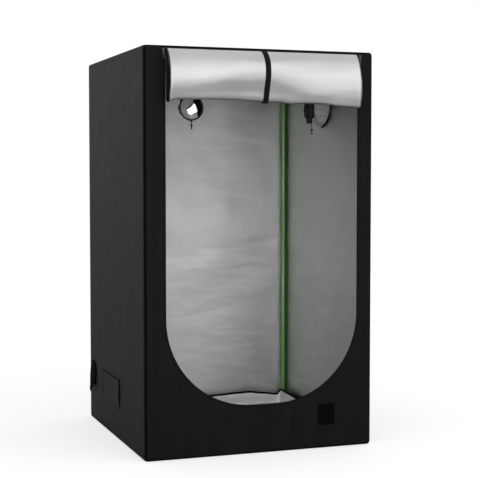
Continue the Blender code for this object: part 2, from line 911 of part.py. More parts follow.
def build_ports():
    build_port("back", "back", back_port_across, back_port_height, back_port_radius,
               back_sleeve_length, back_sleeve_droop, back_sleeve_sway, back_sleeve_end_radius)
    build_port("right", "right", right_port_across, right_port_height, right_port_radius,
               right_sleeve_length, right_sleeve_droop, right_sleeve_sway, right_sleeve_end_radius)
    build_port("left", "left", left_port_across, left_port_height, left_port_radius,
               left_sleeve_length, left_sleeve_droop, left_sleeve_sway, left_sleeve_end_radius)
    make_object("right_port_inner_sleeve", sock_mesh(), black_cloth)
    inside = ring_off_wall + ring_depth - string_radius
    ring_foot = back_port_height - back_port_radius - ring_width - fit_gap
    build_string("back_port", wall_spot("back", back_port_across, ring_foot, -inside), back_string_length)
    hem = sock_end_radius * (1 + sock_pleat_share)
    foot = sock_top - sock_length - fit_gap
    exit_spot = Vector((sock_mouth_x - sock_lean, sock_across - hem, foot))
    build_string("right_port", exit_spot, right_string_length)


# Floor tray

def tray_loop():
    # Plan points of the tray's side with their outward direction and rim height, anticlockwise
    half_x = connector_x - pole_radius - tray_bar_clearance
    half_y = connector_y - pole_radius - tray_bar_clearance
    radius = tray_corner_radius
    loop = []
    corners = (("front", -1, -1), ("right", 1, -1), ("back", 1, 1), ("left", -1, 1))
    for quarter, (side, sign_x, sign_y) in enumerate(corners):
        centre = Vector((sign_x * (half_x - radius), sign_y * (half_y - radius)))
        for step in range(tray_corner_segments + 1):
            angle = math.pi + (quarter + step / tray_corner_segments) * math.pi / 2
            outward = Vector((math.cos(angle), math.sin(angle)))
            loop.append((centre + outward * radius, outward, tray_rim_height))
        start = loop[-1][0]
        _, next_x, next_y = corners[(quarter + 1) % 4]
        turn = quarter * math.pi / 2 - math.pi / 2
        outward = Vector((math.cos(turn), math.sin(turn)))
        corner = Vector((next_x * (half_x - radius), next_y * (half_y - radius))) + outward * radius
        for i, share in enumerate(tray_sag_shares[side]):
            spot = start.lerp(corner, (i + 1) / tray_side_spans)
            loop.append((spot, outward, tray_rim_height - share * tray_rim_sag))
    return loop


def tray_mesh():
    low = cloth_thickness + fit_gap
    bm = bmesh.new()
    foot = [bm.verts.new((spot.x, spot.y, low)) for spot, _, _ in tray_loop()]
    rim = [bm.verts.new((spot.x, spot.y, height)) for spot, _, height in tray_loop()]
    bm.faces.new(foot[::-1])
    for i in range(len(foot)):
        j = (i + 1) % len(foot)
        bm.faces.new((foot[i], foot[j], rim[j], rim[i]))
    obj = tool_object(mesh_from(bm))
    solidify = obj.modifiers.new("thickness", "SOLIDIFY")
    solidify.thickness = cloth_thickness
    solidify.offset = -1
    solidify.use_even_offset = True
    return finished_mesh(obj)


def binding_mesh():
    # A folded tape over the rim: an upside-down channel swept round the tray
    out_leg = fit_gap + binding_thickness
    in_leg = -cloth_thickness - fit_gap
    channel = (
        (out_leg, -binding_height), (out_leg, out_leg), (in_leg - binding_thickness, out_leg),
        (in_leg - binding_thickness, -binding_height), (in_leg, -binding_height),
        (in_leg, fit_gap), (fit_gap, fit_gap), (fit_gap, -binding_height),
    )
    bm = bmesh.new()
    rings = []
    for spot, outward, height in tray_loop():
        rings.append([
            bm.verts.new((spot.x + outward.x * out, spot.y + outward.y * out, height + up))
            for out, up in channel
        ])
    for i, ring in enumerate(rings):
        ahead = rings[(i + 1) % len(rings)]
        for k in range(len(channel)):
            m = (k + 1) % len(channel)
            bm.faces.new((ring[k], ahead[k], ahead[m], ring[m]))
    bmesh.ops.recalc_face_normals(bm, faces=bm.faces)
    return mesh_from(bm)


def build_tray():
    make_object("floor_tray", tray_mesh(), silver_cloth)
    make_object("tray_binding", binding_mesh(), black_webbing)


def build_patch():
    outline = rounded_rectangle(*patch_size, patch_corner_radius, patch_corner_segments)
    proud = fit_gap + patch_thickness / 2
    make_object(
        "front_patch", outline_mesh([outline], patch_thickness), black_webbing,
        wall_spot("front", half_width - patch_from_right, patch_height, proud), wall_rotation("front"),
    )


clear_scene()
tent = make_collection("indoor_grow_tent")
tools = make_collection("cutters")
black_cloth = make_material("black_cloth", (0.012, 0.012, 0.011), 0.75, 0)
silver_cloth = make_material("silver_cloth", (0.52, 0.52, 0.51), 0.35, 0.7)
black_webbing = make_material("black_webbing", (0.015, 0.015, 0.015), 0.85, 0)
green_steel = make_material("green_steel", (0.05, 0.16, 0.025), 0.35, 0)
black_plastic = make_material("black_plastic", (0.012, 0.012, 0.012), 0.45, 0)
dark_metal = make_material("dark_metal", (0.04, 0.04, 0.04), 0.4, 1)

build_frame()
build_hanging_bars()
build_cover()
build_door()
build_zip()
build_vent()
build_ports()
build_tray()
build_patch()
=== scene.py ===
import math

import bmesh
import bpy
import numpy as np
from mathutils import Matrix, Vector, noise


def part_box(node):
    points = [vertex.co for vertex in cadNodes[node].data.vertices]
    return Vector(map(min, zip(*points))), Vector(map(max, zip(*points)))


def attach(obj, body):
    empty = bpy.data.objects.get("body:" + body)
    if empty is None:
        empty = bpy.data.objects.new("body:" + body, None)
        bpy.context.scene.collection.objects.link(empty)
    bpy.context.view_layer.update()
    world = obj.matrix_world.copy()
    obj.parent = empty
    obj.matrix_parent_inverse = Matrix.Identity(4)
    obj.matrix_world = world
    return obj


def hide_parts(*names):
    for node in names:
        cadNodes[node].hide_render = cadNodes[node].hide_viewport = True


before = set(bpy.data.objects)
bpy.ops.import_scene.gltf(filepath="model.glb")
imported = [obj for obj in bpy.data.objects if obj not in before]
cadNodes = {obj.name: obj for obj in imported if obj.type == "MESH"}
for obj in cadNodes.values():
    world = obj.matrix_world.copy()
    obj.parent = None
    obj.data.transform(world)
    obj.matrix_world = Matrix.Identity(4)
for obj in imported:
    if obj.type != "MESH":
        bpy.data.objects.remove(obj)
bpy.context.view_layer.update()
standing = "frame_and_cover"  # the body that stands still
up = Vector((0, 0, 1))
print("frame loaded")

tent = {
    "half": 0.6,              # half the width and half the depth
    "height": 2.0,
    "cloth": 0.0012,          # cover cloth with its silver lining
    "clear": 0.0003,          # between the cloth and what is sewn to it
    "cornerRadius": 0.025,    # upright edges
    "rimRadius": 0.015,       # top and bottom edges
    "cell": 0.0125,           # spacing of the cover's mesh
}
outward = {
    "front": Vector((0, -1, 0)), "right": Vector((1, 0, 0)),
    "back": Vector((0, 1, 0)), "left": Vector((-1, 0, 0)),
}
across = {
    "front": Vector((1, 0, 0)), "right": Vector((0, 1, 0)),
    "back": Vector((1, 0, 0)), "left": Vector((0, 1, 0)),
}


# Camera, lights and floor

photo = {
    "place": (-2.1132, -6.2052, 1.3961),
    "turn": (86.855, 0.0, -19.619),  # degrees
    "lens": 91.23,
}
studio = {
    "white": 1.0,             # what the camera, metal and gloss see
    "ambient": 0.78,          # what lights the object from all round
    "floorColour": 0.56,
    "lamps": {
        "keyLamp": {"place": (-2.6, -5.2, 3.6), "wide": 4.0, "high": 3.0, "power": 17},
        "topLamp": {"place": (2.2, -4.0, 3.9), "wide": 6.0, "high": 2.2, "power": 36},
        "frontLamp": {"place": (-0.2, -7.2, 1.25), "wide": 5.0, "high": 1.0, "power": 14},
        "nearLamp": {"place": (-2.9, -7.4, 1.35), "wide": 2.2, "high": 0.8, "power": 100},
        "rightLamp": {"place": (1.6, -6.6, 1.3), "wide": 1.4, "high": 0.9, "power": 22},
    },
}


def addNode(tree, kind, inputs=None, **settings):
    node = tree.nodes.new(kind)
    for key, value in settings.items():
        setattr(node, key, value)
    for socket, value in (inputs or {}).items():
        if isinstance(value, bpy.types.NodeSocket):
            tree.links.new(value, node.inputs[socket])
        else:
            node.inputs[socket].default_value = value
    return node


def maths(tree, operation, *values, clamp=False):
    inputs = dict(enumerate(values))
    return addNode(tree, "ShaderNodeMath", inputs, operation=operation, use_clamp=clamp).outputs[0]


def seenDirectly(tree):
    # 1 for rays from the camera, and for those that metal, gloss and glass send on
    path = addNode(tree, "ShaderNodeLightPath")
    both = maths(tree, "ADD", path.outputs["Is Camera Ray"], path.outputs["Is Glossy Ray"])
    return maths(tree, "ADD", both, path.outputs["Is Transmission Ray"], clamp=True)


def inScene(obj):
    bpy.context.scene.collection.objects.link(obj)
    return obj


def makeCamera():
    data = bpy.data.cameras.new("photoCamera")
    data.lens = photo["lens"]
    data.sensor_width = 36
    camera = inScene(bpy.data.objects.new("photoCamera", data))
    camera.location = photo["place"]
    camera.rotation_euler = [math.radians(a) for a in photo["turn"]]
    bpy.context.scene.camera = camera


def makeWorld():
    world = bpy.data.worlds.new("studio")
    world.use_nodes = True
    tree = world.node_tree
    spread = studio["white"] - studio["ambient"]
    strength = maths(tree, "MULTIPLY", seenDirectly(tree), spread)
    background = tree.nodes["Background"]
    background.inputs["Color"].default_value = (1, 1, 1, 1)
    tree.links.new(maths(tree, "ADD", strength, studio["ambient"]), background.inputs["Strength"])
    bpy.context.scene.world = world


def makeLamps():
    for name, lamp in studio["lamps"].items():
        data = bpy.data.lights.new(name, "AREA")
        data.shape = "RECTANGLE"
        data.size = lamp["wide"]
        data.size_y = lamp["high"]
        data.energy = lamp["power"]
        obj = inScene(bpy.data.objects.new(name, data))
        obj.location = lamp["place"]
        aim = Vector((0, 0, tent["height"] / 2)) - obj.location
        obj.rotation_euler = aim.to_track_quat("-Z", "Y").to_euler()


def makeFloor():
    material = bpy.data.materials.new("paleFloor")
    material.use_nodes = True
    tree = material.node_tree
    tree.nodes.clear()
    tone = studio["floorColour"]
    plain = addNode(tree, "ShaderNodeBsdfDiffuse", {"Color": (tone, tone, tone, 1)})
    path = addNode(tree, "ShaderNodeLightPath")
    # What the floor lacks to look as white as the studio round it
    lacking = studio["white"] - tone * studio["ambient"]
    glow = maths(tree, "MULTIPLY", path.outputs["Is Camera Ray"], lacking)
    glowing = addNode(tree, "ShaderNodeEmission", {"Color": (1, 1, 1, 1), "Strength": glow})
    both = addNode(tree, "ShaderNodeAddShader", {0: plain.outputs[0], 1: glowing.outputs[0]})
    addNode(tree, "ShaderNodeOutputMaterial", {"Surface": both.outputs[0]})
    reach = 40
    mesh = bpy.data.meshes.new("paleFloor")
    corners = [(-reach, -reach, 0), (reach, -reach, 0), (reach, reach, 0), (-reach, reach, 0)]
    mesh.from_pydata(corners, [], [(0, 1, 2, 3)])
    mesh.materials.append(material)
    floor = inScene(bpy.data.objects.new("paleFloor", mesh))
    floor.location.z = -0.001


bpy.context.scene.view_settings.view_transform = "Standard"
makeCamera()
makeWorld()
makeLamps()
makeFloor()
print("studio ready")


# Finishes. Patterns read the UV map, which every sewn piece has in metres.

def newFinish(name, roughness, metallic=0.0, specular=0.5):
    material = bpy.data.materials.new(name)
    material.use_nodes = True
    shader = material.node_tree.nodes["Principled BSDF"]
    shader.inputs["Roughness"].default_value = roughness
    shader.inputs["Metallic"].default_value = metallic
    shader.inputs["Specular IOR Level"].default_value = specular
    return material, material.node_tree, shader


def textureSpace(tree, kind="UV"):
    return addNode(tree, "ShaderNodeTexCoord").outputs[kind]


def stretched(tree, space, scale, turn=0.0):
    return addNode(
        tree, "ShaderNodeMapping",
        {"Vector": space, "Scale": scale, "Rotation": (0, 0, math.radians(turn))},
    ).outputs[0]


def cloudy(tree, space, scale, low, high, detail=2.0):
    # Soft random value between low and high
    cloud = addNode(tree, "ShaderNodeTexNoise", {"Vector": space, "Scale": scale, "Detail": detail})
    return addNode(
        tree, "ShaderNodeMapRange",
        {"Value": cloud.outputs[0], "From Min": 0.3, "From Max": 0.7, "To Min": low, "To Max": high},
    ).outputs[0]


def plainCloud(tree, space, detail=2.0):
    return addNode(tree, "ShaderNodeTexNoise", {"Vector": space, "Scale": 1.0, "Detail": detail}).outputs[0]


def wavePair(tree, space, pitch, turn=0.0):
    # Two sine waves at right angles, each -1 to 1, a whole wave every two pitches
    turned = stretched(tree, space, (math.pi / pitch,) * 3, turn)
    parts = addNode(tree, "ShaderNodeSeparateXYZ", {"Vector": turned})
    return maths(tree, "SINE", parts.outputs[0]), maths(tree, "SINE", parts.outputs[1])


def tinted(tree, shader, colour, shade):
    # Base colour times a shade value
    tint = addNode(tree, "ShaderNodeVectorMath", {0: colour, 3: shade}, operation="SCALE")
    tree.links.new(tint.outputs[0], shader.inputs["Base Color"])


def raised(tree, shader, height, distance, strength=1.0, under=None):
    node = addNode(tree, "ShaderNodeBump", {"Height": height, "Distance": distance, "Strength": strength})
    if under is not None:
        tree.links.new(under, node.inputs["Normal"])
    tree.links.new(node.outputs[0], shader.inputs["Normal"])
    return node.outputs[0]


cloths = {  # black cloth: pitch of its threads, and how far its painted crease sheen lightens and darkens it
    "oxford": {"name": "blackOxford", "colour": (0.0051, 0.0048, 0.0045), "thread": 0.0008,
               "roughness": 0.55, "specular": 0.092, "creased": (0.92, 1.08)},
    # The front's own copy, with a stronger painted crease sheen
    "front": {"name": "frontOxford", "colour": (0.0051, 0.0048, 0.0045), "thread": 0.0008,
              "roughness": 0.5, "specular": 0.08, "creased": (0.8, 1.3)},
    # A darker, more matte copy of the black cloth: its darker colour is painted shade that makes the port sleeves
    # and the vent's binding black; the seam tapes and the patch use it too
    "sleeve": {"name": "sleeveCloth", "colour": (0.0022, 0.0022, 0.0022), "thread": 0.0006,
               "roughness": 0.8, "specular": 0.03, "creased": (0.9, 1.1)},
    # A lighter, glossier copy of the black cloth for the inner sleeve: its gloss is its own, its lighter colour
    # is painted light on its crumples
    "sock": {"name": "sockCloth", "colour": (0.009, 0.009, 0.009), "thread": 0.0006,
             "roughness": 0.4, "specular": 0.35, "creased": (0.8, 1.2)},
}


def clothFinish(cloth):
    # Coated cloth: fine plain weave, faint upright streaks, soft creases with painted sheen: slanted patches of
    # lighter and darker colour
    material, tree, shader = newFinish(cloth["name"], cloth["roughness"], specular=cloth["specular"])
    shader.inputs["Specular Tint"].default_value = (1.0, 0.95, 0.89, 1)
    space = textureSpace(tree)
    weave = maths(tree, "MULTIPLY", *wavePair(tree, space, cloth["thread"]))
    streaks = cloudy(tree, stretched(tree, space, (40, 1.6, 1)), 1.0, 0.93, 1.08)
    # Painted crease sheen: slanted patches that lighten and darken the cloth's colour
    sheenPatches = cloudy(tree, stretched(tree, space, (11, 2.4, 1), -24), 1.0, *cloth["creased"])
    crowns = maths(tree, "MULTIPLY_ADD", weave, 0.12, 1.0)
    shade = maths(tree, "MULTIPLY", maths(tree, "MULTIPLY", streaks, sheenPatches), crowns)
    tinted(tree, shader, cloth["colour"], shade)
    rough = cloudy(tree, space, 9.0, cloth["roughness"], cloth["roughness"] + 0.03)
    tree.links.new(rough, shader.inputs["Roughness"])
    crease = raised(tree, shader, plainCloud(tree, stretched(tree, space, (9, 2, 1)), 2), 0.0006)
    raised(tree, shader, weave, 0.00012, 0.6, crease)
    return material


films = {  # silver lining: pitch of its diamonds, and how much rougher it is in places
    "mylar": {"name": "silverLining", "colour": (0.49, 0.49, 0.485), "diamond": 0.0082,
              "roughness": 0.28, "patchy": 0.08, "metallic": 1.0},
    "wallMylar": {"name": "wallLining", "colour": (0.51, 0.51, 0.505), "diamond": 0.0048,
                  "roughness": 0.276, "patchy": 0.01, "metallic": 1.0},
    "traySilver": {"name": "traySilver", "colour": (0.86, 0.86, 0.86), "diamond": 0.006,
                   "roughness": 0.36, "patchy": 0.1, "metallic": 0.55},
    "sleeveSilver": {"name": "sleeveSilver", "colour": (0.84, 0.85, 0.84), "diamond": 0.005,
                     "roughness": 0.42, "patchy": 0.1, "metallic": 0.3},
}


def filmFinish(film):
    # Silver film embossed with small diamonds, with the cloth's soft waves behind it. Its colour is darker in the
    # grooves between the diamonds: painted shade.
    material, tree, shader = newFinish(film["name"], film["roughness"], metallic=film["metallic"])
    space = textureSpace(tree)
    along, over = wavePair(tree, space, film["diamond"], 45)
    diamonds = maths(tree, "MULTIPLY", maths(tree, "ABSOLUTE", along), maths(tree, "ABSOLUTE", over))
    # Painted shade: darker colour along the grooves between the diamonds
    embossShade = maths(tree, "MULTIPLY_ADD", diamonds, 0.16, 0.935)
    tinted(tree, shader, film["colour"], maths(tree, "MULTIPLY", cloudy(tree, space, 3.0, 0.95, 1.05), embossShade))
    rough = cloudy(tree, space, 6.0, film["roughness"], film["roughness"] + film["patchy"])
    tree.links.new(rough, shader.inputs["Roughness"])
    soft = raised(tree, shader, plainCloud(tree, stretched(tree, space, (5, 13, 1)), 1), 0.004)
    raised(tree, shader, diamonds, 0.0005, 1.0, soft)
    return material


webbing = {"colour": (0.009, 0.009, 0.009), "rib": 0.0011}
braid = {"colour": (0.018, 0.018, 0.018), "strand": 0.0009}


def webbingFinish():
    # Woven tape: ribs across it with a herringbone over them
    material, tree, shader = newFinish("blackWebbing", 0.75, specular=0.05)
    space = textureSpace(tree)
    ribs = maths(tree, "ABSOLUTE", wavePair(tree, space, webbing["rib"])[0])
    herringbone = maths(tree, "MULTIPLY", *wavePair(tree, space, webbing["rib"] * 1.6, 45))
    height = maths(tree, "ADD", ribs, herringbone)
    tinted(tree, shader, webbing["colour"], maths(tree, "MULTIPLY_ADD", height, 0.25, 0.8))
    raised(tree, shader, height, 0.0003)
    return material


def braidFinish():
    material, tree, shader = newFinish("blackBraid", 0.7, specular=0.3)
    height = maths(tree, "MULTIPLY", *wavePair(tree, textureSpace(tree), braid["strand"], 45))
    tinted(tree, shader, braid["colour"], maths(tree, "MULTIPLY_ADD", height, 0.3, 0.9))
    raised(tree, shader, height, 0.0003)
    return material


# Shade and rough are the scale and the two ends of a cloud, grain is its scale, height and strength
hardParts = {
    "thread": {"name": "charcoalThread", "colour": (0.015, 0.015, 0.0155), "specular": 0.15,
               "shade": (900, 0.8, 1.2), "rough": (60, 0.6, 0.6), "grain": (2500, 0.0002, 1.0)},
    "enamel": {"name": "greenEnamel", "colour": (0.13, 0.38, 0.07), "coat": 0.5, "coatRoughness": 0.14,
               "shade": (12, 0.88, 1.12, 4), "streaks": (90, 90, 9), "rough": (1, 0.26, 0.42),
               "grain": (700, 0.00008, 0.5)},
    "moulded": {"name": "blackMoulded", "colour": (0.014, 0.014, 0.015), "specular": 0.35,
                "shade": (30, 0.85, 1.15), "rough": (60, 0.42, 0.58), "grain": (1400, 0.0001, 0.6)},
    "teeth": {"name": "blackTeeth", "colour": (0.005, 0.005, 0.005), "specular": 0.1,
              "shade": (30, 0.85, 1.15), "rough": (60, 0.42, 0.58), "grain": (1400, 0.0001, 0.6)},
    "zinc": {"name": "blackenedZinc", "colour": (0.06, 0.06, 0.062), "metallic": 0.9,
             "shade": (160, 0.6, 1.7, 4), "rough": (220, 0.28, 0.5), "grain": (1200, 0.00006, 0.5)},
}


def hardFinish(part):
    # Thread, plastic and metal: uneven shade and roughness under a fine grain
    material, tree, shader = newFinish(
        part["name"], part["rough"][1], part.get("metallic", 0.0), part.get("specular", 0.5))
    if "coat" in part:
        shader.inputs["Coat Weight"].default_value = part["coat"]
        shader.inputs["Coat Roughness"].default_value = part["coatRoughness"]
    space = textureSpace(tree, "Object")
    tinted(tree, shader, part["colour"], cloudy(tree, space, *part["shade"]))
    streaked = stretched(tree, space, part.get("streaks", (1, 1, 1)))
    tree.links.new(cloudy(tree, streaked, *part["rough"]), shader.inputs["Roughness"])
    scale, height, strength = part["grain"]
    raised(tree, shader, cloudy(tree, space, scale, 0, 1), height, strength)
    return material


finishes = {key: clothFinish(cloth) for key, cloth in cloths.items()}
finishes |= {key: filmFinish(film) for key, film in films.items()}
finishes |= {key: hardFinish(part) for key, part in hardParts.items()}
finishes |= {"webbing": webbingFinish(), "braid": braidFinish()}
print("finishes ready")


# Mesh helpers

def smoothStep(low, high, value):
    t = min(1.0, max(0.0, (value - low) / (high - low)))
    return t * t * (3 - 2 * t)


def wobble(x, y, seed):
    return noise.noise(Vector((x, y, seed)))


def circle(count):
    # Angles round a circle, with their cosines and sines
    angles = [2 * math.pi * k / count for k in range(count)]
    return [(angle, math.cos(angle), math.sin(angle)) for angle in angles]


def makePiece(name, points, faces, finish, uvs, body=standing, slot="black_cloth", stands=()):
    # A mesh piece with its UV map in metres, riding on a body
    mesh = bpy.data.meshes.new(name)
    mesh.from_pydata(points, [], faces)
    layer = mesh.uv_layers.new(name="UVMap")
    corners = np.zeros(len(mesh.loops), dtype=np.int32)
    mesh.loops.foreach_get("vertex_index", corners)
    layer.uv.foreach_set("vector", np.array(uvs, dtype=np.float32)[corners].ravel())
    for each in finish if isinstance(finish, tuple) else (finish,):
        mesh.materials.append(finishes[each])
    mesh.shade_smooth()
    obj = inScene(bpy.data.objects.new(name, mesh))
    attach(obj, body)
    if stands:
        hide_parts(*stands)
    return obj


def gridFaces(rows, columns, loopRows=False, loopColumns=False):
    faces = []
    for i in range(rows if loopRows else rows - 1):
        for j in range(columns if loopColumns else columns - 1):
            k, m = (i + 1) % rows, (j + 1) % columns
            faces.append((i * columns + j, i * columns + m, k * columns + m, k * columns + j))
    return faces


def thicken(obj, thickness, side=-1.0, linedFrom=1):
    # Gives a sheet its thickness. Its second finish goes on the side away from its normals.
    solidify = obj.modifiers.new("thickness", "SOLIDIFY")
    solidify.thickness = thickness
    solidify.offset = side
    solidify.use_even_offset = True
    solidify.use_quality_normals = True
    solidify.material_offset = linedFrom
    return obj


def sweep(name, path, facing, profile, finish, loop=False, **where):
    # A closed profile (sideways, outwards) drawn along a path whose outward direction is given
    count = len(path)
    points, uvs, length = [], [], 0.0
    rim = [0.0]
    for a, b in zip(profile, profile[1:] + profile[:1]):
        rim.append(rim[-1] + math.dist(a, b))
    for i, spot in enumerate(path):
        ahead = path[(i + 1) % count] if loop or i + 1 < count else spot
        behind = path[i - 1] if loop or i else spot
        along = (ahead - behind).normalized()
        out = (facing[i] - along * facing[i].dot(along)).normalized()
        side = along.cross(out)
        if i:
            length += (spot - path[i - 1]).length
        for k, (x, y) in enumerate(profile):
            points.append(spot + side * x + out * y)
            uvs.append((length, rim[k]))
    faces = gridFaces(count, len(profile), loop, True)
    if not loop:
        faces.append(tuple(range(len(profile))))
        faces.append(tuple(range(count * len(profile) - 1, (count - 1) * len(profile) - 1, -1)))
    return makePiece(name, points, faces, finish, uvs, **where)


def tapeProfile(width, thickness, low=0.0):
    # A flat tape with soft edges, its underside at the given height
    half, middle = width / 2, low + thickness / 2
    return [
        (-half, middle), (-half * 0.96, low), (0, low), (half * 0.96, low),
        (half, middle), (half * 0.96, low + thickness), (0, low + thickness), (-half * 0.96, low + thickness),
    ][::-1]


def roundProfile(radius, sides):
    return [(radius * s, radius * c) for _, c, s in circle(sides)]


# Node trees for what repeats along a path

def startTree(name, sizes):
    # A node tree that is given a geometry, named sizes and a finish
    tree = bpy.data.node_groups.new(name, "GeometryNodeTree")
    tree.interface.new_socket("Geometry", in_out="INPUT", socket_type="NodeSocketGeometry")
    for title in sizes:
        tree.interface.new_socket(title, in_out="INPUT", socket_type="NodeSocketFloat")
    tree.interface.new_socket("Finish", in_out="INPUT", socket_type="NodeSocketMaterial")
    tree.interface.new_socket("Geometry", in_out="OUTPUT", socket_type="NodeSocketGeometry")
    return tree, addNode(tree, "NodeGroupInput").outputs


def endTree(tree, copies, finish, smooth=False):
    real = addNode(tree, "GeometryNodeRealizeInstances", {0: copies.outputs[0]})
    shaded = addNode(tree, "GeometryNodeSetShadeSmooth", {0: real.outputs[0], "Shade Smooth": smooth})
    painted = addNode(tree, "GeometryNodeSetMaterial", {0: shaded.outputs[0], "Material": finish})
    addNode(tree, "NodeGroupOutput", {0: painted.outputs[0]})
    return tree


def rowTree(name, boxes):
    # Rows of stitches or teeth along the edges of a mesh, which holds each point's outward direction
    tree, given = startTree(name, ("Pitch", "Long", "Wide", "High"))
    curve = addNode(tree, "GeometryNodeMeshToCurve", {"Mesh": given["Geometry"]})
    spaced = addNode(
        tree, "GeometryNodeResampleCurve",
        {"Curve": curve.outputs[0], "Length": given["Pitch"]}, mode="LENGTH",
    )
    tangent = addNode(tree, "GeometryNodeInputTangent")
    facing = addNode(tree, "GeometryNodeInputNamedAttribute", {"Name": "facing"}, data_type="FLOAT_VECTOR")
    lean = addNode(
        tree, "FunctionNodeRandomValue",
        {"Min": (-0.05, -0.05, -0.05), "Max": (0.05, 0.05, 0.05), "Seed": 7}, data_type="FLOAT_VECTOR",
    )
    leaning = addNode(tree, "ShaderNodeVectorMath", {0: tangent.outputs[0], 1: lean.outputs[0]}, operation="ADD")
    first = addNode(tree, "FunctionNodeAlignRotationToVector", {"Vector": leaning.outputs[0]}, axis="X")
    second = addNode(
        tree, "FunctionNodeAlignRotationToVector",
        {"Rotation": first.outputs[0], "Vector": facing.outputs[0]}, axis="Z", pivot_axis="X",
    )
    size = addNode(tree, "ShaderNodeCombineXYZ", {0: given["Long"], 1: given["Wide"], 2: given["High"]})
    if boxes:
        shape = addNode(tree, "GeometryNodeMeshCube", {"Size": (1, 1, 1)})
    else:
        shape = addNode(tree, "GeometryNodeMeshIcoSphere", {"Radius": 0.5, "Subdivisions": 1})
    copies = addNode(
        tree, "GeometryNodeInstanceOnPoints",
        {"Points": spaced.outputs[0], "Instance": shape.outputs[0],
         "Rotation": second.outputs[0], "Scale": size.outputs[0]},
    )
    return endTree(tree, copies, given["Finish"], smooth=not boxes)


def runTree(name, tree, source, inputs, body):
    # Runs a node tree on a source mesh, keeps the result as a plain mesh and drops the source
    obj = inScene(bpy.data.objects.new(name + "Source", source))
    modifier = obj.modifiers.new("nodes", "NODES")
    modifier.node_group = tree
    for item in tree.interface.items_tree:
        if item.in_out == "INPUT" and item.name in inputs:
            modifier[item.identifier] = inputs[item.name]
    bpy.context.view_layer.update()
    evaluated = obj.evaluated_get(bpy.context.evaluated_depsgraph_get())
    mesh = bpy.data.meshes.new_from_object(evaluated)
    mesh.name = name
    bpy.data.objects.remove(obj)
    made = inScene(bpy.data.objects.new(name, mesh))
    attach(made, body)
    return made


def pathMesh(name, rows):
    # One mesh of loose paths. Each row is (points, directions outwards).
    points, edges, facing = [], [], []
    for path, outs in rows:
        start = len(points)
        points += [tuple(p) for p in path]
        facing += [tuple(o) for o in outs]
        edges += [(start + i, start + i + 1) for i in range(len(path) - 1)]
    mesh = bpy.data.meshes.new(name)
    mesh.from_pydata(points, edges, [])
    mesh.attributes.new("facing", "FLOAT_VECTOR", "POINT")
    mesh.attributes["facing"].data.foreach_set("vector", np.array(facing, dtype=np.float32).ravel())
    return mesh


stitchTree = rowTree("stitchRow", boxes=False)
toothTree = rowTree("toothRow", boxes=True)
stitch = {"Pitch": 0.0052, "Long": 0.004, "Wide": 0.0009, "High": 0.0008, "Finish": finishes["thread"]}
tooth = {"Pitch": 0.0026, "Long": 0.0013, "Wide": 0.0052, "High": 0.0011, "Finish": finishes["teeth"]}
stitchRows = {}  # body to its rows of stitches


def sew(body, path, facing, lift=tent["clear"]):
    stitchRows.setdefault(body, []).append(([p + f * lift for p, f in zip(path, facing)], facing))


# Cover: six panels that meet in the middle of each rounded edge

door = {"left": -0.492, "right": 0.513, "bottom": 0.246, "top": 1.975, "footRadius": 0.44}
vent = {"across": 0.09, "low": 0.165, "width": 0.38, "height": 0.155, "margin": 0.02, "binding": 0.006,
        "bindingThickness": 0.0016, "mesh": 0.0028, "strand": 0.0007, "curl": 0.006}
ports = {
    "back": {"side": "back", "across": 0.0105, "height": 1.771, "radius": 0.067, "ring": 0.006},
    "right": {"side": "right", "across": 0.045, "height": 1.775, "radius": 0.122, "ring": 0.006},
    "left": {"side": "left", "across": 0.495, "height": 0.27, "radius": 0.064, "ring": 0.006},
}
cover = {
    "roundShares": (0.25, 0.485, 0.66, 0.83, 1.0),  # across a rounded corner
    "cornerReach": 0.0177,  # half of a rounded corner, seen from its wall
    "folds": {  # depth, width and height of each wall's folds
        "front": (0.0022, 0.09, 0.5), "right": (0.003, 0.5, 0.16),
        "back": (0.0034, 0.55, 0.13), "left": (0.0006, 0.12, 0.8),
    },
    "ridge": {"across": -0.563, "wide": 0.022, "height": 0.005, "below": 1.72},  # near the front's left edge
    "roofSag": 0.0035,
    "holeArea": {"front": 1.655, "right": 0.047, "back": 0.014, "left": 0.052},  # square metres cut out
}
flatHalf = tent["half"] - tent["cornerRadius"]


def doorDistance(x, z):
    # Distance outside the door's cut-out, negative inside it
    low = door["bottom"] + door["footRadius"]
    if z >= low:
        return max(door["left"] - x, x - door["right"], z - door["top"])
    middle = (door["left"] + door["right"]) / 2
    foot = (door["right"] - door["left"]) / 2 - door["footRadius"]
    return math.hypot(max(abs(x - middle) - foot, 0), low - z) - door["footRadius"]


def ventDistance(y, z):
    halfWide = vent["width"] / 2 - vent["margin"]
    halfHigh = vent["height"] / 2 - vent["margin"]
    return max(abs(y - vent["across"]) - halfWide, abs(z - vent["low"] - vent["height"] / 2) - halfHigh)


def portDistance(port):
    return lambda u, z: math.hypot(u - port["across"], z - port["height"]) - port["radius"]


holes = {
    "front": [doorDistance], "right": [portDistance(ports["right"])],
    "back": [portDistance(ports["back"])], "left": [portDistance(ports["left"]), ventDistance],
}


def foldHeight(side, u, z):
    # How far the cloth stands out of its plane: upright folds and soft waves, none at edges and hems
    edge = min(tent["half"] - abs(u), z, tent["height"] - z)
    edge = min([edge] + [gap(u, z) - 0.012 for gap in holes[side]])
    seed = 3.7 * len(side)
    depth, wide, high = cover["folds"][side]
    fold = wobble(u / wide + 0.8 * wobble(u, z * 1.5, seed + 5), z / high, seed)
    wave = wobble(u * 3.2, z * 3.2, seed + 9)
    slant = wobble((u + z * 0.6) * 7, (z - u) * 1.1, seed + 13)
    height = depth * (fold + 0.9 * wave + 0.5 * slant)
    if side != "front":
        return smoothStep(0.004, 0.12, edge) * height
    ridge = cover["ridge"]
    away = smoothStep(ridge["wide"], 0, abs(u - ridge["across"]))
    away *= smoothStep(ridge["below"], ridge["below"] - 0.25, z)
    return smoothStep(0.004, 0.03, edge) * (height + ridge["height"] * away)


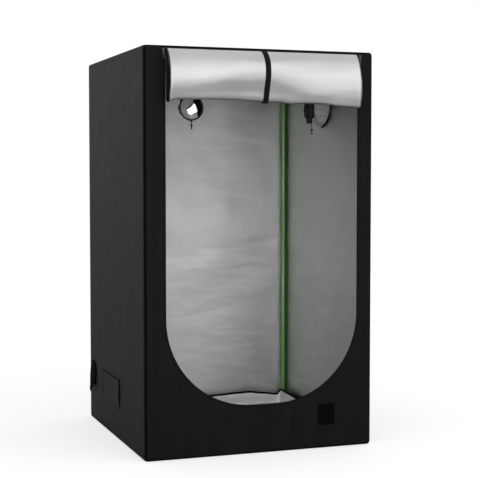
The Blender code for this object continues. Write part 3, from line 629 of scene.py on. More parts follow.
def wallSpot(side, base, corner, z, lift=0.0):
    # Place and outward direction on a wall: base along its flat part, corner -1 to 1 round its corners
    rim, radius = tent["rimRadius"], tent["cornerRadius"]
    rise = (max(0, z - tent["height"] + rim) - max(0, rim - z)) / rim
    inset = rim * (1 - math.sqrt(max(0, 1 - rise * rise)))
    angle = math.atan(abs(corner))
    turn = math.copysign(math.sin(angle), corner)
    u = base + (radius - inset) * turn
    out = tent["half"] - inset - (radius - inset) * (1 - math.cos(angle))
    level = math.sqrt(max(0, 1 - rise * rise))
    normal = (outward[side] * math.cos(angle) + across[side] * turn) * level + up * rise
    lift += foldHeight(side, u, z)
    return outward[side] * out + across[side] * u + up * z + normal * lift, normal


def wallAt(side, u, z, lift=0.0):
    # The same from a plain position across the wall
    over = (abs(u) - flatHalf) / tent["cornerRadius"]
    if over <= 0:
        return wallSpot(side, u, 0.0, z, lift)
    over = min(over, math.sin(math.pi / 4))
    corner = over / math.sqrt(1 - over * over)
    return wallSpot(side, math.copysign(flatHalf, u), math.copysign(corner, u), z, lift)


def acrossSamples():
    count = round(2 * flatHalf / tent["cell"])
    flat = [(-flatHalf + 2 * flatHalf * i / count, 0.0) for i in range(count + 1)]
    turned = [(flatHalf, share) for share in cover["roundShares"]]
    return [(-b, -c) for b, c in reversed(turned)] + flat + turned


def heightSamples():
    rim, top = tent["rimRadius"], tent["height"]
    count = round((top - 2 * rim) / tent["cell"])
    low = [rim - rim * math.sin(math.radians(a)) for a in (45, 30, 15)]
    flat = [rim + (top - 2 * rim) * i / count for i in range(count + 1)]
    return low + flat + [top - z for z in reversed(low)]


def cutHole(spots, faces, gap):
    # Takes the faces inside a hole away and draws the points on its edge to the true outline
    keep, gone = [], set()
    for face in faces:
        u = sum(spots[i][0] for i in face) / 4
        z = sum(spots[i][1] for i in face) / 4
        if gap(u, z) > 0:
            keep.append(face)
        else:
            gone.update(face)
    step = 0.0005
    for i in gone.intersection(i for face in keep for i in face):
        u, z = spots[i]
        for _ in range(3):
            distance = gap(u, z)
            du = (gap(u + step, z) - gap(u - step, z)) / (2 * step)
            dz = (gap(u, z + step) - gap(u, z - step)) / (2 * step)
            size = max(du * du + dz * dz, 0.1)
            u, z = u - distance * du / size, z - distance * dz / size
        spots[i] = (u, z)
    return keep


def usedOnly(points, uvs, faces):
    used = sorted({i for face in faces for i in face})
    place = {old: new for new, old in enumerate(used)}
    return [points[i] for i in used], [uvs[i] for i in used], [tuple(place[i] for i in f) for f in faces]


def makeWall(side, node):
    columns, rows = acrossSamples(), heightSamples()
    spots = [(base + corner * cover["cornerReach"], z) for z in rows for base, corner in columns]
    faces = gridFaces(len(rows), len(columns))
    before = list(spots)
    for gap in holes[side]:
        faces = cutHole(spots, faces, gap)
    points = []
    for i, (u, z) in enumerate(spots):
        base, corner = columns[i % len(columns)]
        if corner == 0 and spots[i] != before[i]:
            points.append(wallSpot(side, u, 0.0, z)[0])
        else:
            points.append(wallSpot(side, base, corner, rows[i // len(columns)])[0])
    points, uvs, faces = usedOnly(points, spots, faces)
    if side in ("back", "left"):
        faces = [face[::-1] for face in faces]
    title = "cover" + side.capitalize()
    outside = "front" if side == "front" else "oxford"
    wall = thicken(makePiece(title, points, faces, (outside, "wallMylar"), uvs, stands=(node,)), tent["cloth"])


def makeFlatPanel(name, node, top):
    # Roof or floor: a square grid pressed into the rounded outline
    samples = acrossSamples()
    rim = tent["rimRadius"]
    inset = rim * (1 - math.cos(math.pi / 4))
    radius = tent["cornerRadius"] - inset
    points, uvs = [], []
    for baseY, cornerY in samples:
        for baseX, cornerX in samples:
            dx, dy = cornerX * radius, cornerY * radius
            long = math.hypot(dx, dy)
            shrink = max(abs(dx), abs(dy)) / long if long else 1
            x, y = baseX + dx * shrink, baseY + dy * shrink
            fromEdge = radius * (1 - max(abs(cornerX), abs(cornerY)))
            bend = max(0, math.sin(math.pi / 4) - fromEdge / rim)
            z = rim - rim * math.sqrt(1 - bend * bend)
            if top:
                free = smoothStep(0.01, 0.2, tent["half"] - max(abs(x), abs(y)))
                sag = cover["roofSag"] * free * (1 + 0.7 * wobble(x * 4, y * 4, 2.5))
                z = tent["height"] - z - sag
            points.append(Vector((x, y, z)))
            uvs.append((x, y))
    faces = gridFaces(len(samples), len(samples))
    if not top:
        faces = [face[::-1] for face in faces]
    panel = thicken(makePiece(name, points, faces, ("oxford", "mylar"), uvs, stands=(node,)), tent["cloth"])


for side in outward:
    makeWall(side, "front_panel" if side == "front" else side + "_wall")
makeFlatPanel("coverRoof", "roof_panel", True)
makeFlatPanel("coverFloor", "floor_panel", False)
print("cover ready")


# Seams: tape sewn over every edge of the cover, with a row of stitches on each side

seam = {"tape": 0.011, "rimTape": 0.008, "thickness": 0.0009, "clear": 0.0002, "stitchOff": 0.0085,
        "rimStitches": 0.021}


def edgeRun(side, corner, offset, count=160):
    # Up an upright edge of the cover, at an offset round the corner from its seam
    reach = flatHalf + tent["cornerRadius"] * math.sin(math.pi / 4) - offset
    heights = [0.012 + (tent["height"] - 0.024) * i / count for i in range(count + 1)]
    spots = [wallAt(side, math.copysign(reach, corner), z) for z in heights]
    return [s[0] for s in spots], [s[1] for s in spots]


def rimRun(z, count=60):
    # Round the cover at one height, through all four walls
    path, facing = [], []
    for side, order in (("front", 1), ("right", 1), ("back", -1), ("left", -1)):
        samples = [(-flatHalf, -1.0), (-flatHalf, -0.4)]
        samples += [(-flatHalf + 2 * flatHalf * i / count, 0.0) for i in range(count + 1)]
        samples += [(flatHalf, 0.4)]
        if order < 0:
            samples = [(-b, -c) for b, c in samples]
        for base, corner in samples:
            spot, normal = wallSpot(side, base, corner, z)
            path.append(spot)
            facing.append(normal)
    return path, facing


def bentTape(width, radius, count=8):
    # A tape that lies round an edge of the given radius
    low, high = radius + seam["clear"], radius + seam["clear"] + seam["thickness"]
    spread = width / 2 / radius
    turns = [spread * (2 * i / count - 1) for i in range(count + 1)]
    over = [(high * math.sin(a), high * math.cos(a) - radius) for a in turns]
    under = [(low * math.sin(a), low * math.cos(a) - radius) for a in reversed(turns)]
    return over + under


def makeSeams():
    tape = bentTape(seam["tape"], tent["cornerRadius"])
    rimTape = bentTape(seam["rimTape"], tent["rimRadius"])
    for side, otherCorner in (("front", -1), ("back", 1)):
        for corner, other in ((-1, "left"), (1, "right")):
            path, facing = edgeRun(side, corner, 0.0)
            name = "seam" + side.capitalize() + other.capitalize()
            sweep(name, path, facing, tape, "sleeve", slot="black_webbing")
            sew(standing, *edgeRun(side, corner, seam["stitchOff"]))
            sew(standing, *edgeRun(other, otherCorner, seam["stitchOff"]))
    fromRim = tent["rimRadius"] * (1 - math.sin(math.pi / 4))
    for name, z in (("seamTop", tent["height"] - fromRim), ("seamBottom", fromRim)):
        path, facing = rimRun(z)
        sweep(name, path, facing, rimTape, "sleeve", loop=True, slot="black_webbing")
    for z in (tent["height"] - seam["rimStitches"], seam["rimStitches"]):
        path, facing = rimRun(z)
        sew(standing, path + path[:1], facing + facing[:1])


makeSeams()
print("seams ready")


# Zip round the door's cut-out

zipLine = {
    "off": 0.010, "width": 0.010, "tape": 0.0006, "top": 1.984,
    "tapeStitches": (0.0062, 0.0138), "hemStitches": 0.021,  # outside the cut-out's edge
    "hemOff": 0.0018, "hemWidth": 0.0036, "hem": 0.0004,
}


def doorLine(grow, top, arcSteps=48, straightSteps=60):
    # Down the door's left side, round its foot and up its right side
    radius = door["footRadius"] + grow
    low = door["bottom"] + door["footRadius"]
    xs = (door["left"] - grow, door["right"] + grow)
    line = [(xs[0], top + (low - top) * i / straightSteps) for i in range(straightSteps)]
    centres = (door["left"] + door["footRadius"], door["right"] - door["footRadius"])
    for centre, start in zip(centres, (math.pi, 1.5 * math.pi)):
        for i in range(arcSteps + 1):
            angle = start + i / arcSteps * math.pi / 2
            line.append((centre + radius * math.cos(angle), low + radius * math.sin(angle)))
    line += [(xs[1], low + (top - low) * (i + 1) / straightSteps) for i in range(straightSteps)]
    return line


def onFront(line, lift):
    face = outward["front"]
    path = [Vector((x, -tent["half"], z)) + face * lift for x, z in line]
    return path, [face] * len(path)


def makeZip():
    line, top = doorLine(zipLine["off"], zipLine["top"]), zipLine["top"]
    path, facing = onFront(line, tent["clear"])
    tape = tapeProfile(zipLine["width"], zipLine["tape"])
    sweep("zipTape", path, facing, tape, "webbing", slot="black_plastic", stands=("zip_track",))
    onTape = tent["clear"] + zipLine["tape"]
    teeth = pathMesh("zipTeethLine", [onFront(line, onTape + tooth["High"] / 2 - 0.0001)])
    runTree("zipTeeth", toothTree, teeth, tooth, standing)
    for grow in zipLine["tapeStitches"]:
        sew(standing, *onFront(doorLine(grow, top - 0.002), onTape), lift=0.0)
    sew(standing, *onFront(doorLine(zipLine["hemStitches"], top - 0.004), 0.0))
    path, facing = onFront(doorLine(zipLine["hemOff"], door["top"]), -0.0001)
    hem = tapeProfile(zipLine["hemWidth"], zipLine["hem"])
    sweep("doorHem", path, facing, hem, "webbing", slot="black_webbing")


makeZip()
print("zip ready")


# Rolled door and its strap

roll = {
    "depth": 0.096, "drop": 0.258, "turns": 3.6, "turnShare": 0.1, "endInsets": (0.001, 0.011),
    "centreShares": (0.5, 0.6),
    "outlineShares": (
        (0.0, 0.0), (0.25, 0.02), (0.54, 0.13), (0.79, 0.31), (0.96, 0.50), (1.0, 0.67), (0.96, 0.81),
        (0.87, 0.91), (0.76, 0.985), (0.50, 1.0), (0.09, 0.95), (0.02, 0.75), (0.0, 0.45), (0.0, 0.2),
    ),
    "waistShares": (  # the same under the strap
        (0.0, 0.0), (0.38, 0.03), (0.72, 0.15), (0.88, 0.28), (0.92, 0.42), (0.87, 0.55), (0.76, 0.68),
        (0.64, 0.81), (0.54, 0.945), (0.36, 1.0), (0.04, 0.93), (0.02, 0.75), (0.0, 0.45), (0.0, 0.2),
    ),
    "fullShares": ((-1.0, 0.93), (-0.6, 0.92), (-0.2, 0.9), (0.2, 0.88), (0.6, 0.86), (1.0, 0.85)),
    "lowShares": (  # how far down the cloth hangs along the roll
        (-1.0, 1.01), (-0.92, 0.968), (-0.3, 0.95), (-0.15, 0.97), (0.0, 0.985), (0.11, 0.98), (0.27, 1.012),
        (0.43, 1.0), (0.6, 1.0), (0.8, 1.035), (1.0, 1.05),
    ),
    "waistReach": 0.016, "waistFade": (0.42, 0.30), "leastHold": (0.4, 0.0),  # left and right of the strap
    "place": Vector((0, -0.6009, 1.984)),
    "stations": 88, "perTurn": 40,
    "strapWidth": 0.028, "strapThickness": 0.0016, "strapStitches": 0.011,
    "teeth": {"Wide": 0.0036, "High": 0.0019},  # on the roll's ends
}
rollEnds = door["left"] + roll["endInsets"][0], door["right"] - roll["endInsets"][1]
rollMiddle, rollHalf = sum(rollEnds) / 2, (rollEnds[1] - rollEnds[0]) / 2


def smoothLoop(shares, place):
    spot = (place % 1) * len(shares)
    first = math.floor(spot)
    t = spot - first
    before, start, end, after = (shares[(first + k) % len(shares)] for k in (-1, 0, 1, 2))
    return [
        b + 0.5 * ((c - a) * t + (2 * a - 5 * b + 4 * c - d) * t ** 2 + (3 * b - a - 3 * c + d) * t ** 3)
        for a, b, c, d in zip(before, start, end, after)
    ]


def shareAlong(x, shares):
    # A value given at shares of the roll's half length, straight between them
    share = max(-1.0, min(1.0, (x - rollMiddle) / rollHalf))
    for (start, low), (end, high) in zip(shares, shares[1:]):
        if share <= end:
            return low + (high - low) * smoothStep(start, end, share)
    return shares[-1][1]


def rollFull(x):
    # How full the roll is, and how much the strap holds it
    full = shareAlong(x, roll["fullShares"]) * (1 + 0.012 * wobble(x * 5, 0.3, 4.1))
    hold = 1 - smoothStep(roll["waistReach"], roll["waistReach"] + roll["waistFade"][x > 0], abs(x))
    least = roll["leastHold"][x > 0]
    return full + (1 - full) * hold, least + (1 - least) * hold


def rollSpot(turn, full, hold, low):
    shrink = 1 - roll["turnShare"] * turn
    loose, tight = smoothLoop(roll["outlineShares"], turn), smoothLoop(roll["waistShares"], turn)
    outline = [a + (b - a) * hold for a, b in zip(loose, tight)]
    depth, drop = (max(0.0, c + (o - c) * shrink) for c, o in zip(roll["centreShares"], outline))
    drop -= (1 - low) * smoothStep(0.2, 1.0, drop)
    return Vector((0, -depth * roll["depth"] * full, -drop * roll["drop"]))


def rollLine(x, turns, lift=0.0, low=None):
    # Points and outward directions along the wound cloth at one place across the door
    full, hold = rollFull(x)
    low = shareAlong(x, roll["lowShares"]) if low is None else low
    fromEnd = rollHalf - abs(x - rollMiddle)
    hem = 0.0012 * smoothStep(0.014, 0.006, fromEnd)
    path, facing = [], []
    for turn in turns:
        step = rollSpot(turn + 0.004, full, hold, low) - rollSpot(turn - 0.004, full, hold, low)
        out = Vector((0, step.z, -step.y)).normalized()
        free = smoothStep(roll["waistReach"], 0.12, abs(x))
        free *= smoothStep(0.03, 0.12, turn) * smoothStep(0.76, 0.66, turn)
        pucker = 0.0016 * wobble(x * 4.5, turn * 6, 1.7)
        pucker += 0.0012 * wobble(x * 17, turn * 5, 6.2) * math.exp(-abs(x) * 5)
        spot = rollSpot(turn, full, hold, low) + out * (lift + free * (pucker + hem))
        path.append(roll["place"] + Vector((x, 0, 0)) + spot)
        facing.append(out)
    return path, facing


def makeRoll():
    count = round(roll["turns"] * roll["perTurn"])
    turns = [i / roll["perTurn"] for i in range(count + 1)]
    points, uvs = [], []
    for i in range(roll["stations"] + 1):
        x = rollMiddle + rollHalf * (2 * i / roll["stations"] - 1)
        path, _ = rollLine(x, turns)
        length = 0.0
        for k, spot in enumerate(path):
            if k:
                length += (spot - path[k - 1]).length
            points.append(spot)
            uvs.append((x, length))
    faces = gridFaces(roll["stations"] + 1, len(turns))
    obj = makePiece("doorRoll", points, faces, ("mylar", "oxford"), uvs, "rolled_door", "silver_cloth",
                    ("door_roll",))
    thicken(obj, tent["cloth"], 0.0)
    rows = [rollLine(rollMiddle + side * (rollHalf - 0.0006), turns[1:]) for side in (-1, 1)]
    teeth = pathMesh("rollTeethLines", rows)
    runTree("rollTeeth", toothTree, teeth, tooth | roll["teeth"], "rolled_door")
    print("rolled cloth measures", round(length, 3), "m along its right edge")


def makeStrap():
    turns = [0.03 + 0.93 * i / 90 for i in range(91)]
    path, facing = rollLine(0.0, turns, tent["cloth"] / 2 + tent["clear"], 1.0)
    profile = tapeProfile(roll["strapWidth"], roll["strapThickness"])
    sweep("rollStrap", path, facing, profile, "webbing", body="rolled_door", slot="black_webbing",
          stands=("roll_strap",))
    for side in (-1, 1):
        shift = Vector((side * roll["strapStitches"], 0, 0))
        sew("rolled_door", [p + shift for p in path], facing, roll["strapThickness"])


makeRoll()
makeStrap()
print("door ready")


# Ports: bound ring on the inside, gathered sleeve outside

sleeves = {
    "back": {
        "length": 0.09, "pleats": 17, "pleatShare": 0.07, "node": "back_port", "flatLength": 0.1,
        # The hole that the cord leaves, seen from inside, from its right side round by its top
        "hole": (
            (0.0645, -0.003), (0.0595, 0.010), (0.0465, 0.032), (0.0395, 0.027), (0.0305, 0.015), (0.0125, 0.002),
            (-0.0005, -0.010), (0.0105, -0.032), (0.0255, -0.040), (0.0485, -0.029), (0.0655, -0.018),
        ),
        "turnedIn": (-50, 80),   # degrees of its side given the black cloth: painted shade on the sleeve's inner side
    },
    "right": {"length": 0.10, "droop": 0.06, "end": 0.014, "pleats": 13, "pleatShare": 0.2, "node": "right_port",
              "flatLength": 0.15, "lined": (-92, 25)},  # where its lining is turned over the ring, in degrees
    "left": {"length": 0.022, "droop": 0.095, "end": 0.012, "pleats": 10, "pleatShare": 0.2, "node": "left_port",
             "flatLength": 0.10},
}
sleeveMake = {
    "overlap": 0.004, "collar": 0.004, "rows": 26, "sides": 132, "cloth": 0.0009,
    "casing": 0.86, "darkFrom": 0.76,  # shares of its length: the string's casing, and where the lining ends
    "taperShare": 0.75,  # area of a sleeve's tapering cut, as a share of its width times length
}
ringMake = {"depth": 0.007, "steps": 96, "sides": 14, "squareness": 0.6}


def portAxes(port):
    side = port["side"]
    start = outward[side] * tent["half"] + across[side] * port["across"] + up * port["height"]
    return start, across[side], outward[side]


def makeRing(name, port, spec):
    start, sideways, out = portAxes(port)
    halfDeep, halfWide = ringMake["depth"] / 2, port["ring"] / 2
    centre = start - out * (tent["cloth"] + tent["clear"] + halfDeep)
    spokes = [sideways * c + up * s for _, c, s in circle(ringMake["steps"])]
    path = [centre + spoke * (port["radius"] + halfWide) for spoke in spokes]
    power = ringMake["squareness"]
    profile = [
        (halfDeep * math.copysign(abs(c) ** power, c), halfWide * math.copysign(abs(s) ** power, s))
        for _, c, s in circle(ringMake["sides"])
    ]
    ring = sweep(name + "Ring", path, spokes, profile, ("webbing", "sleeveSilver"), loop=True,
                 slot="black_webbing", stands=(spec["node"] + "_ring",))
    low, high = spec.get("lined", (0, 0))
    for face in ring.data.polygons:
        spot = face.center - start
        if low < math.degrees(math.atan2(spot.dot(up), spot.dot(sideways))) < high:
            face.material_index = 1
    rim = [p - out * (halfDeep * 0.95) for p in path + path[:1]]
    sew(standing, rim, [-out] * len(rim), 0.0002)


def sleeveEnd(spec, share):
    # Where the drawn end is at one place round it, from the port's middle
    if "hole" in spec:
        return smoothLoop(spec["hole"], share)
    angle = 2 * math.pi * share
    return spec["end"] * math.cos(angle), spec["end"] * math.sin(angle) - spec["droop"]


def makeSleeve(name, port, spec):
    start, sideways, out = portAxes(port)
    make = sleeveMake
    mouth = port["radius"] + make["overlap"]
    ends = [sleeveEnd(spec, k / make["sides"]) for k in range(make["sides"])]
    centre = [sum(end[axis] for end in ends) / len(ends) for axis in (0, 1)]
    points, uvs = [], []
    for row in range(make["rows"] + 1):
        t = row / make["rows"]
        drawn = 0.7 * smoothStep(0, 1, t) + 0.3 * t
        casing = 0.1 * math.sin(math.pi * smoothStep(make["casing"], 1.0, t))
        reach = tent["clear"]
        if row:
            reach += make["collar"] + (spec["length"] - make["collar"]) * t
        for (endSide, endUp), (angle, c, s) in zip(ends, circle(make["sides"])):
            depth = spec["pleatShare"] * t * (0.75 + 0.5 * wobble(3 * c, 3 * s, 2.2))
            bend = 0.35 * wobble(2 * c, 2 * s + t, 8.1)
            crumple = 1 + casing + depth * math.cos(spec["pleats"] * (angle + bend))
            crumple += 0.06 * t * wobble(6 * c, 6 * s + 5 * t, 5.5)
            sideAt = mouth * c * (1 - drawn) + (endSide - centre[0]) * drawn
            upAt = mouth * s * (1 - drawn) + (endUp - centre[1]) * drawn
            spot = start + out * reach + sideways * (sideAt * crumple + centre[0] * drawn)
            points.append(spot + up * (upAt * crumple + centre[1] * drawn))
            uvs.append((angle * mouth, reach))
    faces = gridFaces(make["rows"] + 1, make["sides"], False, True)
    if port["side"] in ("front", "right"):
        faces = [face[::-1] for face in faces]
    # The sleeve's black outside is the darker cloth, painted shade
    finish = ("sleeve", "sleeveSilver", "sleeve", "sleeve")
    obj = makePiece(name + "Sleeve", points, faces, finish, uvs, stands=(spec["node"] + "_sleeve",))
    low, high = (math.radians(a) for a in spec.get("turnedIn", (0, 0)))
    for i, face in enumerate(obj.data.polygons):
        row, side = divmod(i, make["sides"])
        angle = (2 * math.pi * side / make["sides"] + math.pi) % (2 * math.pi) - math.pi
        # Black cloth from darkFrom on, and on the shaded side as painted shade
        if row > make["darkFrom"] * make["rows"] or low < angle < high:
            face.material_index = 2
    first = obj.data.polygons[0]
    if first.normal.dot(first.center - start) < 0:
        obj.data.flip_normals()
    thicken(obj, make["cloth"])


for name, spec in sleeves.items():
    makeRing(name + "Port", ports[name], spec)
    makeSleeve(name + "Port", ports[name], spec)


sock = {
    "across": 0.080, "top": 1.892, "length": 0.224, "lean": 0.046, "mouthX": 0.5826,
    "mouthWide": 0.030, "mouthDeep": 0.008, "body": 0.028, "end": 0.0165,
    "rows": 44, "sides": 96, "pleats": 9, "closing": (0.83, 0.9),
}


def makeSock():
    # Inner sleeve of the right port, drawn shut and hanging
    points, uvs = [], []
    for row in range(sock["rows"] + 1):
        t = row / sock["rows"]
        rounding = smoothStep(0, 0.5, t)
        closing = smoothStep(*sock["closing"], t)
        wide, deep = (
            mouth + (sock["body"] - mouth) * rounding + (sock["end"] - sock["body"]) * closing
            for mouth in (sock["mouthWide"], sock["mouthDeep"])
        )
        for angle, c, s in circle(sock["sides"]):
            fold = 0.1 * t * math.cos(sock["pleats"] * angle + 1.5 * wobble(2 * c, 2 * s + 2 * t, 3.3))
            lump = 0.13 * smoothStep(0.1, 0.4, t) * wobble(1.6 * c, 1.6 * s + 7 * t, 6.6)
            lump += 0.07 * smoothStep(0.2, 0.5, t) * wobble(4 * c + 9 * t, 4 * s, 2.6)
            size = 1 + fold + lump - 0.04
            points.append(Vector((
                sock["mouthX"] - sock["lean"] * rounding + deep * size * c,
                sock["across"] + wide * size * s,
                sock["top"] - sock["length"] * t,
            )))
            uvs.append((angle * sock["body"], sock["length"] * t))
    faces = [face[::-1] for face in gridFaces(sock["rows"] + 1, sock["sides"], False, True)]
    obj = makePiece("innerSleeve", points, faces, ("sock", "sock"), uvs, stands=("right_port_inner_sleeve",))
    thicken(obj, sleeveMake["cloth"], -1.0)


makeSock()

strings = {
    "back": {"length": 0.052, "node": "back_port_drawstring", "lock": "back_port_cord_lock"},
    "right": {"length": 0.062, "node": "right_port_drawstring", "lock": "right_port_cord_lock"},
    "radius": 0.0018, "knotStrand": 0.0012, "knotRadius": 0.00136, "knotHeight": 0.00187,
}


def makeString(name):
    spec = strings[name]
    low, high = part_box(spec["node"])
    top = Vector(((low.x + high.x) / 2, (low.y + high.y) / 2, high.z))
    path = [top - up * (spec["length"] * i / 24) for i in range(25)]
    profile = roundProfile(strings["radius"], 10)
    cord = sweep(name + "String", path, [outward["front"]] * len(path), profile, "braid",
                 slot="black_webbing", stands=(spec["node"],))
    knot = makeKnot(name + "Knot", path[-3])


def makeKnot(name, centre):
    # Overhand knot: a cord that goes round itself
    path = []
    for angle, _, _ in circle(60):
        ring = strings["knotRadius"] * (2 + math.cos(3 * angle))
        rise = strings["knotHeight"] * math.sin(3 * angle)
        path.append(centre + Vector((ring * math.cos(2 * angle), ring * math.sin(2 * angle), rise)))
    profile = roundProfile(strings["knotStrand"], 8)
    return sweep(name, path, [up] * len(path), profile, "braid", loop=True, slot="black_webbing")


makeString("back")
makeString("right")
print("ports ready")


# Low vent: net inside, flap outside

def netTree():
    # Upright and level strands
    tree, given = startTree("ventNet", ("Wide", "High", "Pitch", "Strand"))
    joined = addNode(tree, "GeometryNodeJoinGeometry")
    for along, over, axis in (("Wide", "High", 1), ("High", "Wide", 2)):
        count = maths(tree, "DIVIDE", given[along], given["Pitch"])
        first = maths(tree, "MULTIPLY", given[along], -0.5)
        start = addNode(tree, "ShaderNodeCombineXYZ", {axis: first}).outputs[0]
        step = addNode(tree, "ShaderNodeCombineXYZ", {axis: given["Pitch"]}).outputs[0]
        line = addNode(tree, "GeometryNodeMeshLine", {"Count": count, "Start Location": start, "Offset": step})
        sizes = {0: given["Strand"], 1: given["Strand"], 2: given["Strand"]}
        sizes[3 - axis] = given[over]
        size = addNode(tree, "ShaderNodeCombineXYZ", sizes)
        strand = addNode(tree, "GeometryNodeMeshCube", {"Size": size.outputs[0]})
        copies = addNode(
            tree, "GeometryNodeInstanceOnPoints",
            {"Points": line.outputs[0], "Instance": strand.outputs[0]},
        )
        tree.links.new(copies.outputs[0], joined.inputs[0])
    return endTree(tree, joined, given["Finish"])


def makeVent():
    low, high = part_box("vent_net")
    source = bpy.data.meshes.new("netSource")
    source.from_pydata([(0, 0, 0)], [], [])
    net = runTree("ventNet", netTree(), source, {
        "Wide": high.y - low.y, "High": high.z - low.z,
        "Pitch": vent["mesh"], "Strand": vent["strand"], "Finish": finishes["thread"],
    }, standing)
    net.data.transform(Matrix.Translation((low + high) / 2))
    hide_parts("vent_net")

    columns, rows = 60, 26
    points, uvs = [], []
    for i in range(rows + 1):
        for k in range(columns + 1):
            s, t = k / columns, i / rows
            y = vent["across"] + vent["width"] * (s - 0.5)
            z = vent["low"] + vent["height"] * t
            curl = vent["curl"] * smoothStep(0.3, 0.0, s)
            curl *= (0.35 + 0.65 * smoothStep(0.75, 0.1, t)) * smoothStep(0, 0.45, t)
            lift = 0.0009 + curl + 0.0007 * t * (1 + wobble(y * 14, z * 9, 1.1))
            points.append(Vector((-tent["half"] - lift, y, z)))
            uvs.append((y, z))
    faces = [face[::-1] for face in gridFaces(rows + 1, columns + 1)]
    flap = makePiece("ventFlap", points, faces, ("oxford", "oxford"), uvs, "vent_flap", "black_cloth",
                     ("vent_flap",))
    thicken(flap, 0.001, 0.0)

    def alongFlap(row, column, inset):
        # Place on the flap, moved in from its free edges
        spot = points[row * (columns + 1) + column].copy()
        spot.y += inset * ((column == 0) - (column == columns))
        spot.z -= inset * (row == rows)
        return spot

    edges = {
        "Front": [(row, 0) for row in range(rows + 1)],
        "Top": [(rows, column) for column in range(columns + 1)],
        "Back": [(row, columns) for row in range(rows, -1, -1)],
    }
    # The binding is a tape of the darker cloth on the flap's free edges: painted shadow along those edges
    thickness = vent["bindingThickness"]
    tape = tapeProfile(vent["binding"], thickness, -thickness / 2)
    face = outward["left"]
    border = []
    for place, spots in edges.items():
        path = [alongFlap(*spot, vent["binding"] / 2 - 0.0005) for spot in spots]
        sweep("ventBinding" + place, path, [face] * len(path), tape, "sleeve", body="vent_flap",
              slot="black_webbing")
        border += [alongFlap(*spot, vent["binding"] + 0.002) for spot in spots if spot[0] > 0.1 * rows]
    sew("vent_flap", border, [face] * len(border), 0.0006)


makeVent()
print("vent ready")


# Floor tray and the binding on its rim

tray = {
    "half": 0.567, "cornerRadius": 0.03, "low": 0.0015, "rim": 0.081, "peak": 0.014, "cloth": 0.0012,
    "footRadius": 0.027, "sideShares": (1.0, 0.94, 0.88, 0.78, 0.66, 0.54), "bulge": 0.0022,
    "rings": 14,  # of the floor's mesh
    "rims": {  # height of the rim along each side, from corner to corner
        "front": (0.081, 0.076, 0.072, 0.066, 0.063, 0.062, 0.063, 0.065, 0.066, 0.068, 0.072, 0.077, 0.081),
        "right": (0.081, 0.077, 0.070, 0.066, 0.062, 0.060, 0.061, 0.064, 0.068, 0.073, 0.080, 0.085, 0.089),
        "back": (0.067, 0.079, 0.090, 0.088, 0.083, 0.080, 0.080, 0.077, 0.074, 0.072, 0.073, 0.077, 0.081),
        "left": (0.081, 0.074, 0.068, 0.064, 0.061, 0.060, 0.062, 0.066, 0.069, 0.070, 0.073, 0.078, 0.081),
    },
    "binding": [  # its section over the rim, sideways and upwards
        (-0.0026, -0.010), (-0.0026, 0.0006), (-0.0018, 0.0014), (0.0003, 0.0014), (0.0012, 0.0004),
        (0.0012, -0.010), (0.0002, -0.010), (0.0001, 0.0002), (-0.0017, 0.0002), (-0.0018, -0.010),
    ],
}


def trayLoop(spans=60, cornerSteps=6):
    # Plan points of the tray's side, their outward direction and the rim's height
    loop = []
    inner = tray["half"] - tray["cornerRadius"]
    sides = (("front", -1, -1), ("right", 1, -1), ("back", 1, 1), ("left", -1, 1))
    for quarter, (side, signX, signY) in enumerate(sides):
        before, after = tray["rims"][sides[quarter - 1][0]][-1], tray["rims"][side][0]
        for step in range(cornerSteps + 1):
            t = step / cornerSteps
            angle = math.pi + (quarter + t) * math.pi / 2
            out = Vector((math.cos(angle), math.sin(angle), 0))
            rim = before + (after - before) * t
            if side == "back":
                rim += tray["peak"] * math.sin(math.pi * t)
            loop.append((Vector((signX * inner, signY * inner, 0)) + out * tray["cornerRadius"], out, rim))
        turn = (quarter - 1) * math.pi / 2
        out = Vector((math.cos(turn), math.sin(turn), 0))
        along = Vector((-out.y, out.x, 0))
        rims = tray["rims"][side]
        for i in range(1, spans):
            t = i / spans
            spot = out * tray["half"] + along * inner * (2 * t - 1)
            k = int(t * (len(rims) - 1))
            rise = smoothStep(0, 1, t * (len(rims) - 1) - k)
            loop.append((spot, out, rims[k] + (rims[k + 1] - rims[k]) * rise))
    return loop


def makeTray():
    loop = trayLoop()
    count = len(loop)
    points, uvs = [], []
    foot, low = tray["footRadius"], tray["low"]
    arc = [math.radians(15 * i) for i in range(7)]
    lines = [(foot * (1 - math.cos(a)), foot * (1 - math.sin(a)), 0.0) for a in reversed(arc)]
    lines += [(0.0, 0.0, share) for share in reversed(tray["sideShares"])]
    for inset, height, share in lines:
        for spot, out, rim in loop:
            z = low + (height if share == 0 else (rim - low) * share)
            full = smoothStep(0.9, 0.6, share) if share else 0.3 + 0.7 * smoothStep(foot, 0, inset)
            bulge = -tray["bulge"] * full * (1 + wobble(spot.x * 8, spot.y * 8, 3.1)) - 0.0004
            points.append(spot + out * (bulge - inset) + up * z)
            uvs.append((spot.x + spot.y, z))
    faces = [face[::-1] for face in gridFaces(len(lines), count, False, True)]
    # The floor goes inwards in rings from the foot of the side
    start = 0
    for ring in range(1, tray["rings"] + 1):
        t = ring / tray["rings"]
        base = len(points)
        for inside in points[:count]:
            x, y = inside.x * (1 - t), inside.y * (1 - t)
            lift = 0.0008
            if t < 1:
                lift = 0.0016 * smoothStep(0, 0.1, t) * (0.6 + wobble(x * 4, y * 4, 7.7))
            points.append(Vector((x, y, low + max(0, lift))))
            uvs.append((x, y))
        for i in range(count):
            j = (i + 1) % count
            faces.append((start + i, start + j, base + j, base + i))
        start = base
    obj = makePiece("floorTray", points, faces, ("oxford", "traySilver"), uvs, slot="silver_cloth",
                    stands=("floor_tray",))
    mergeDoubles(obj)
    thicken(obj, tray["cloth"])
    path = [spot + up * rim for spot, out, rim in loop]
    sweep("trayBinding", path, [up] * count, tray["binding"], "webbing", loop=True, slot="black_webbing",
          stands=("tray_binding",))


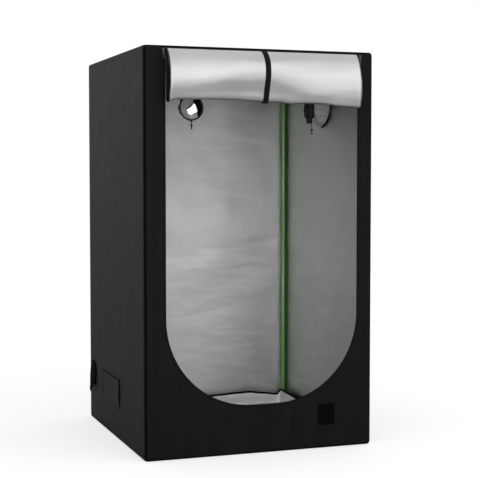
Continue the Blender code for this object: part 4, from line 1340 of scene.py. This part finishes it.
def mergeDoubles(obj):
    bm = bmesh.new()
    bm.from_mesh(obj.data)
    bmesh.ops.remove_doubles(bm, verts=bm.verts, dist=0.00002)
    bmesh.ops.recalc_face_normals(bm, faces=bm.faces)
    bm.to_mesh(obj.data)
    bm.free()


makeTray()
print("tray ready")


# Bare woven patch on the front

patch = {"node": "front_patch", "thickness": 0.0009, "stitchesIn": 0.0035, "columns": 24, "rows": 28}


def makePatch():
    low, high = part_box(patch["node"])
    middle = (low + high) / 2
    halfX, halfZ = (high.x - low.x) / 2, (high.z - low.z) / 2
    columns, rows = patch["columns"], patch["rows"]
    points, uvs = [], []
    for i in range(rows + 1):
        for k in range(columns + 1):
            x, z = halfX * (2 * k / columns - 1), halfZ * (2 * i / rows - 1)
            edge = min(halfX - abs(x), halfZ - abs(z))
            lift = 0.0004 + patch["thickness"] * smoothStep(-0.001, 0.004, edge)
            points.append(Vector((middle.x + x, -tent["half"] - lift, middle.z + z)))
            uvs.append((x, z))
    faces = gridFaces(rows + 1, columns + 1)
    obj = makePiece("frontPatch", points, faces, "sleeve", uvs, slot="black_webbing", stands=(patch["node"],))
    thicken(obj, 0.0004, -1.0, 0)
    wide, high = halfX - patch["stitchesIn"], halfZ - patch["stitchesIn"]
    corners = [(-wide, -high), (wide, -high), (wide, high), (-wide, high)]
    path = []
    for (x0, z0), (x1, z1) in zip(corners, corners[1:] + corners[:1]):
        for i in range(12):
            x, z = x0 + (x1 - x0) * i / 12, z0 + (z1 - z0) * i / 12
            path.append(Vector((middle.x + x, -tent["half"] - 0.0014, middle.z + z)))
    path.append(path[0])
    sew(standing, path, [outward["front"]] * len(path), 0.0)


makePatch()


# Steel tubes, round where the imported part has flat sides

tubes = {"wall": 0.001, "sides": 40, "swage": 0.045, "taper": 0.006, "swageRadius": 0.0097, "rounding": 0.0004}


def makeTube(node, body=standing):
    low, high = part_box(node)
    size = high - low
    axis = max(range(3), key=lambda i: size[i])
    radius = min(size[i] for i in range(3) if i != axis) / 2
    length, edge, endRadius = size[axis], tubes["rounding"], radius
    steps = [(0, radius - edge), (edge, radius)]
    if node.startswith("lower_pole"):
        endRadius = tubes["swageRadius"]
        steps += [(length - tubes["swage"] - tubes["taper"], radius), (length - tubes["swage"], endRadius)]
    steps += [(length - edge, endRadius), (length, endRadius - edge)]
    steps += [(at, r - tubes["wall"]) for at, r in reversed(steps)]
    middle = (low + high) / 2
    middle[axis] = low[axis]
    first, second = ((axis + 1) % 3, (axis + 2) % 3)
    points, uvs = [], []
    for at, r in steps:
        for angle, c, s in circle(tubes["sides"]):
            spot = middle.copy()
            spot[axis] += at
            spot[first] += r * c
            spot[second] += r * s
            points.append(spot)
            uvs.append((angle * radius, at))
    faces = [face[::-1] for face in gridFaces(len(steps), tubes["sides"], True, True)]
    tube = makePiece(node + "_tube", points, faces, "enamel", uvs, body, "green_steel", (node,))
    tube.data.set_sharp_from_angle(angle=math.radians(40))


for node in cadNodes:
    if node.startswith(("lower_pole", "upper_pole", "bottom_bar", "top_bar")):
        makeTube(node)
    elif node.startswith("hanging_bar"):
        makeTube(node, node.replace("hanging_bar_", "") + "_hanging_bar")
print("tubes ready")


# Rigid CAD pieces keep their shape and get their finish

finishOf = {
    "corner_connector": "moulded", "hanging_clip": "moulded", "cord_lock": "moulded",
    "zip_slider": "zinc", "zip_pull": "zinc",
}
for name, obj in cadNodes.items():
    for part, finish in finishOf.items():
        if part in name:
            obj.data.materials.clear()
            obj.data.materials.append(finishes[finish])

for body, rows in stitchRows.items():
    runTree("stitches_" + body, stitchTree, pathMesh("stitchLines", rows), stitch, body)
print("stitches ready")
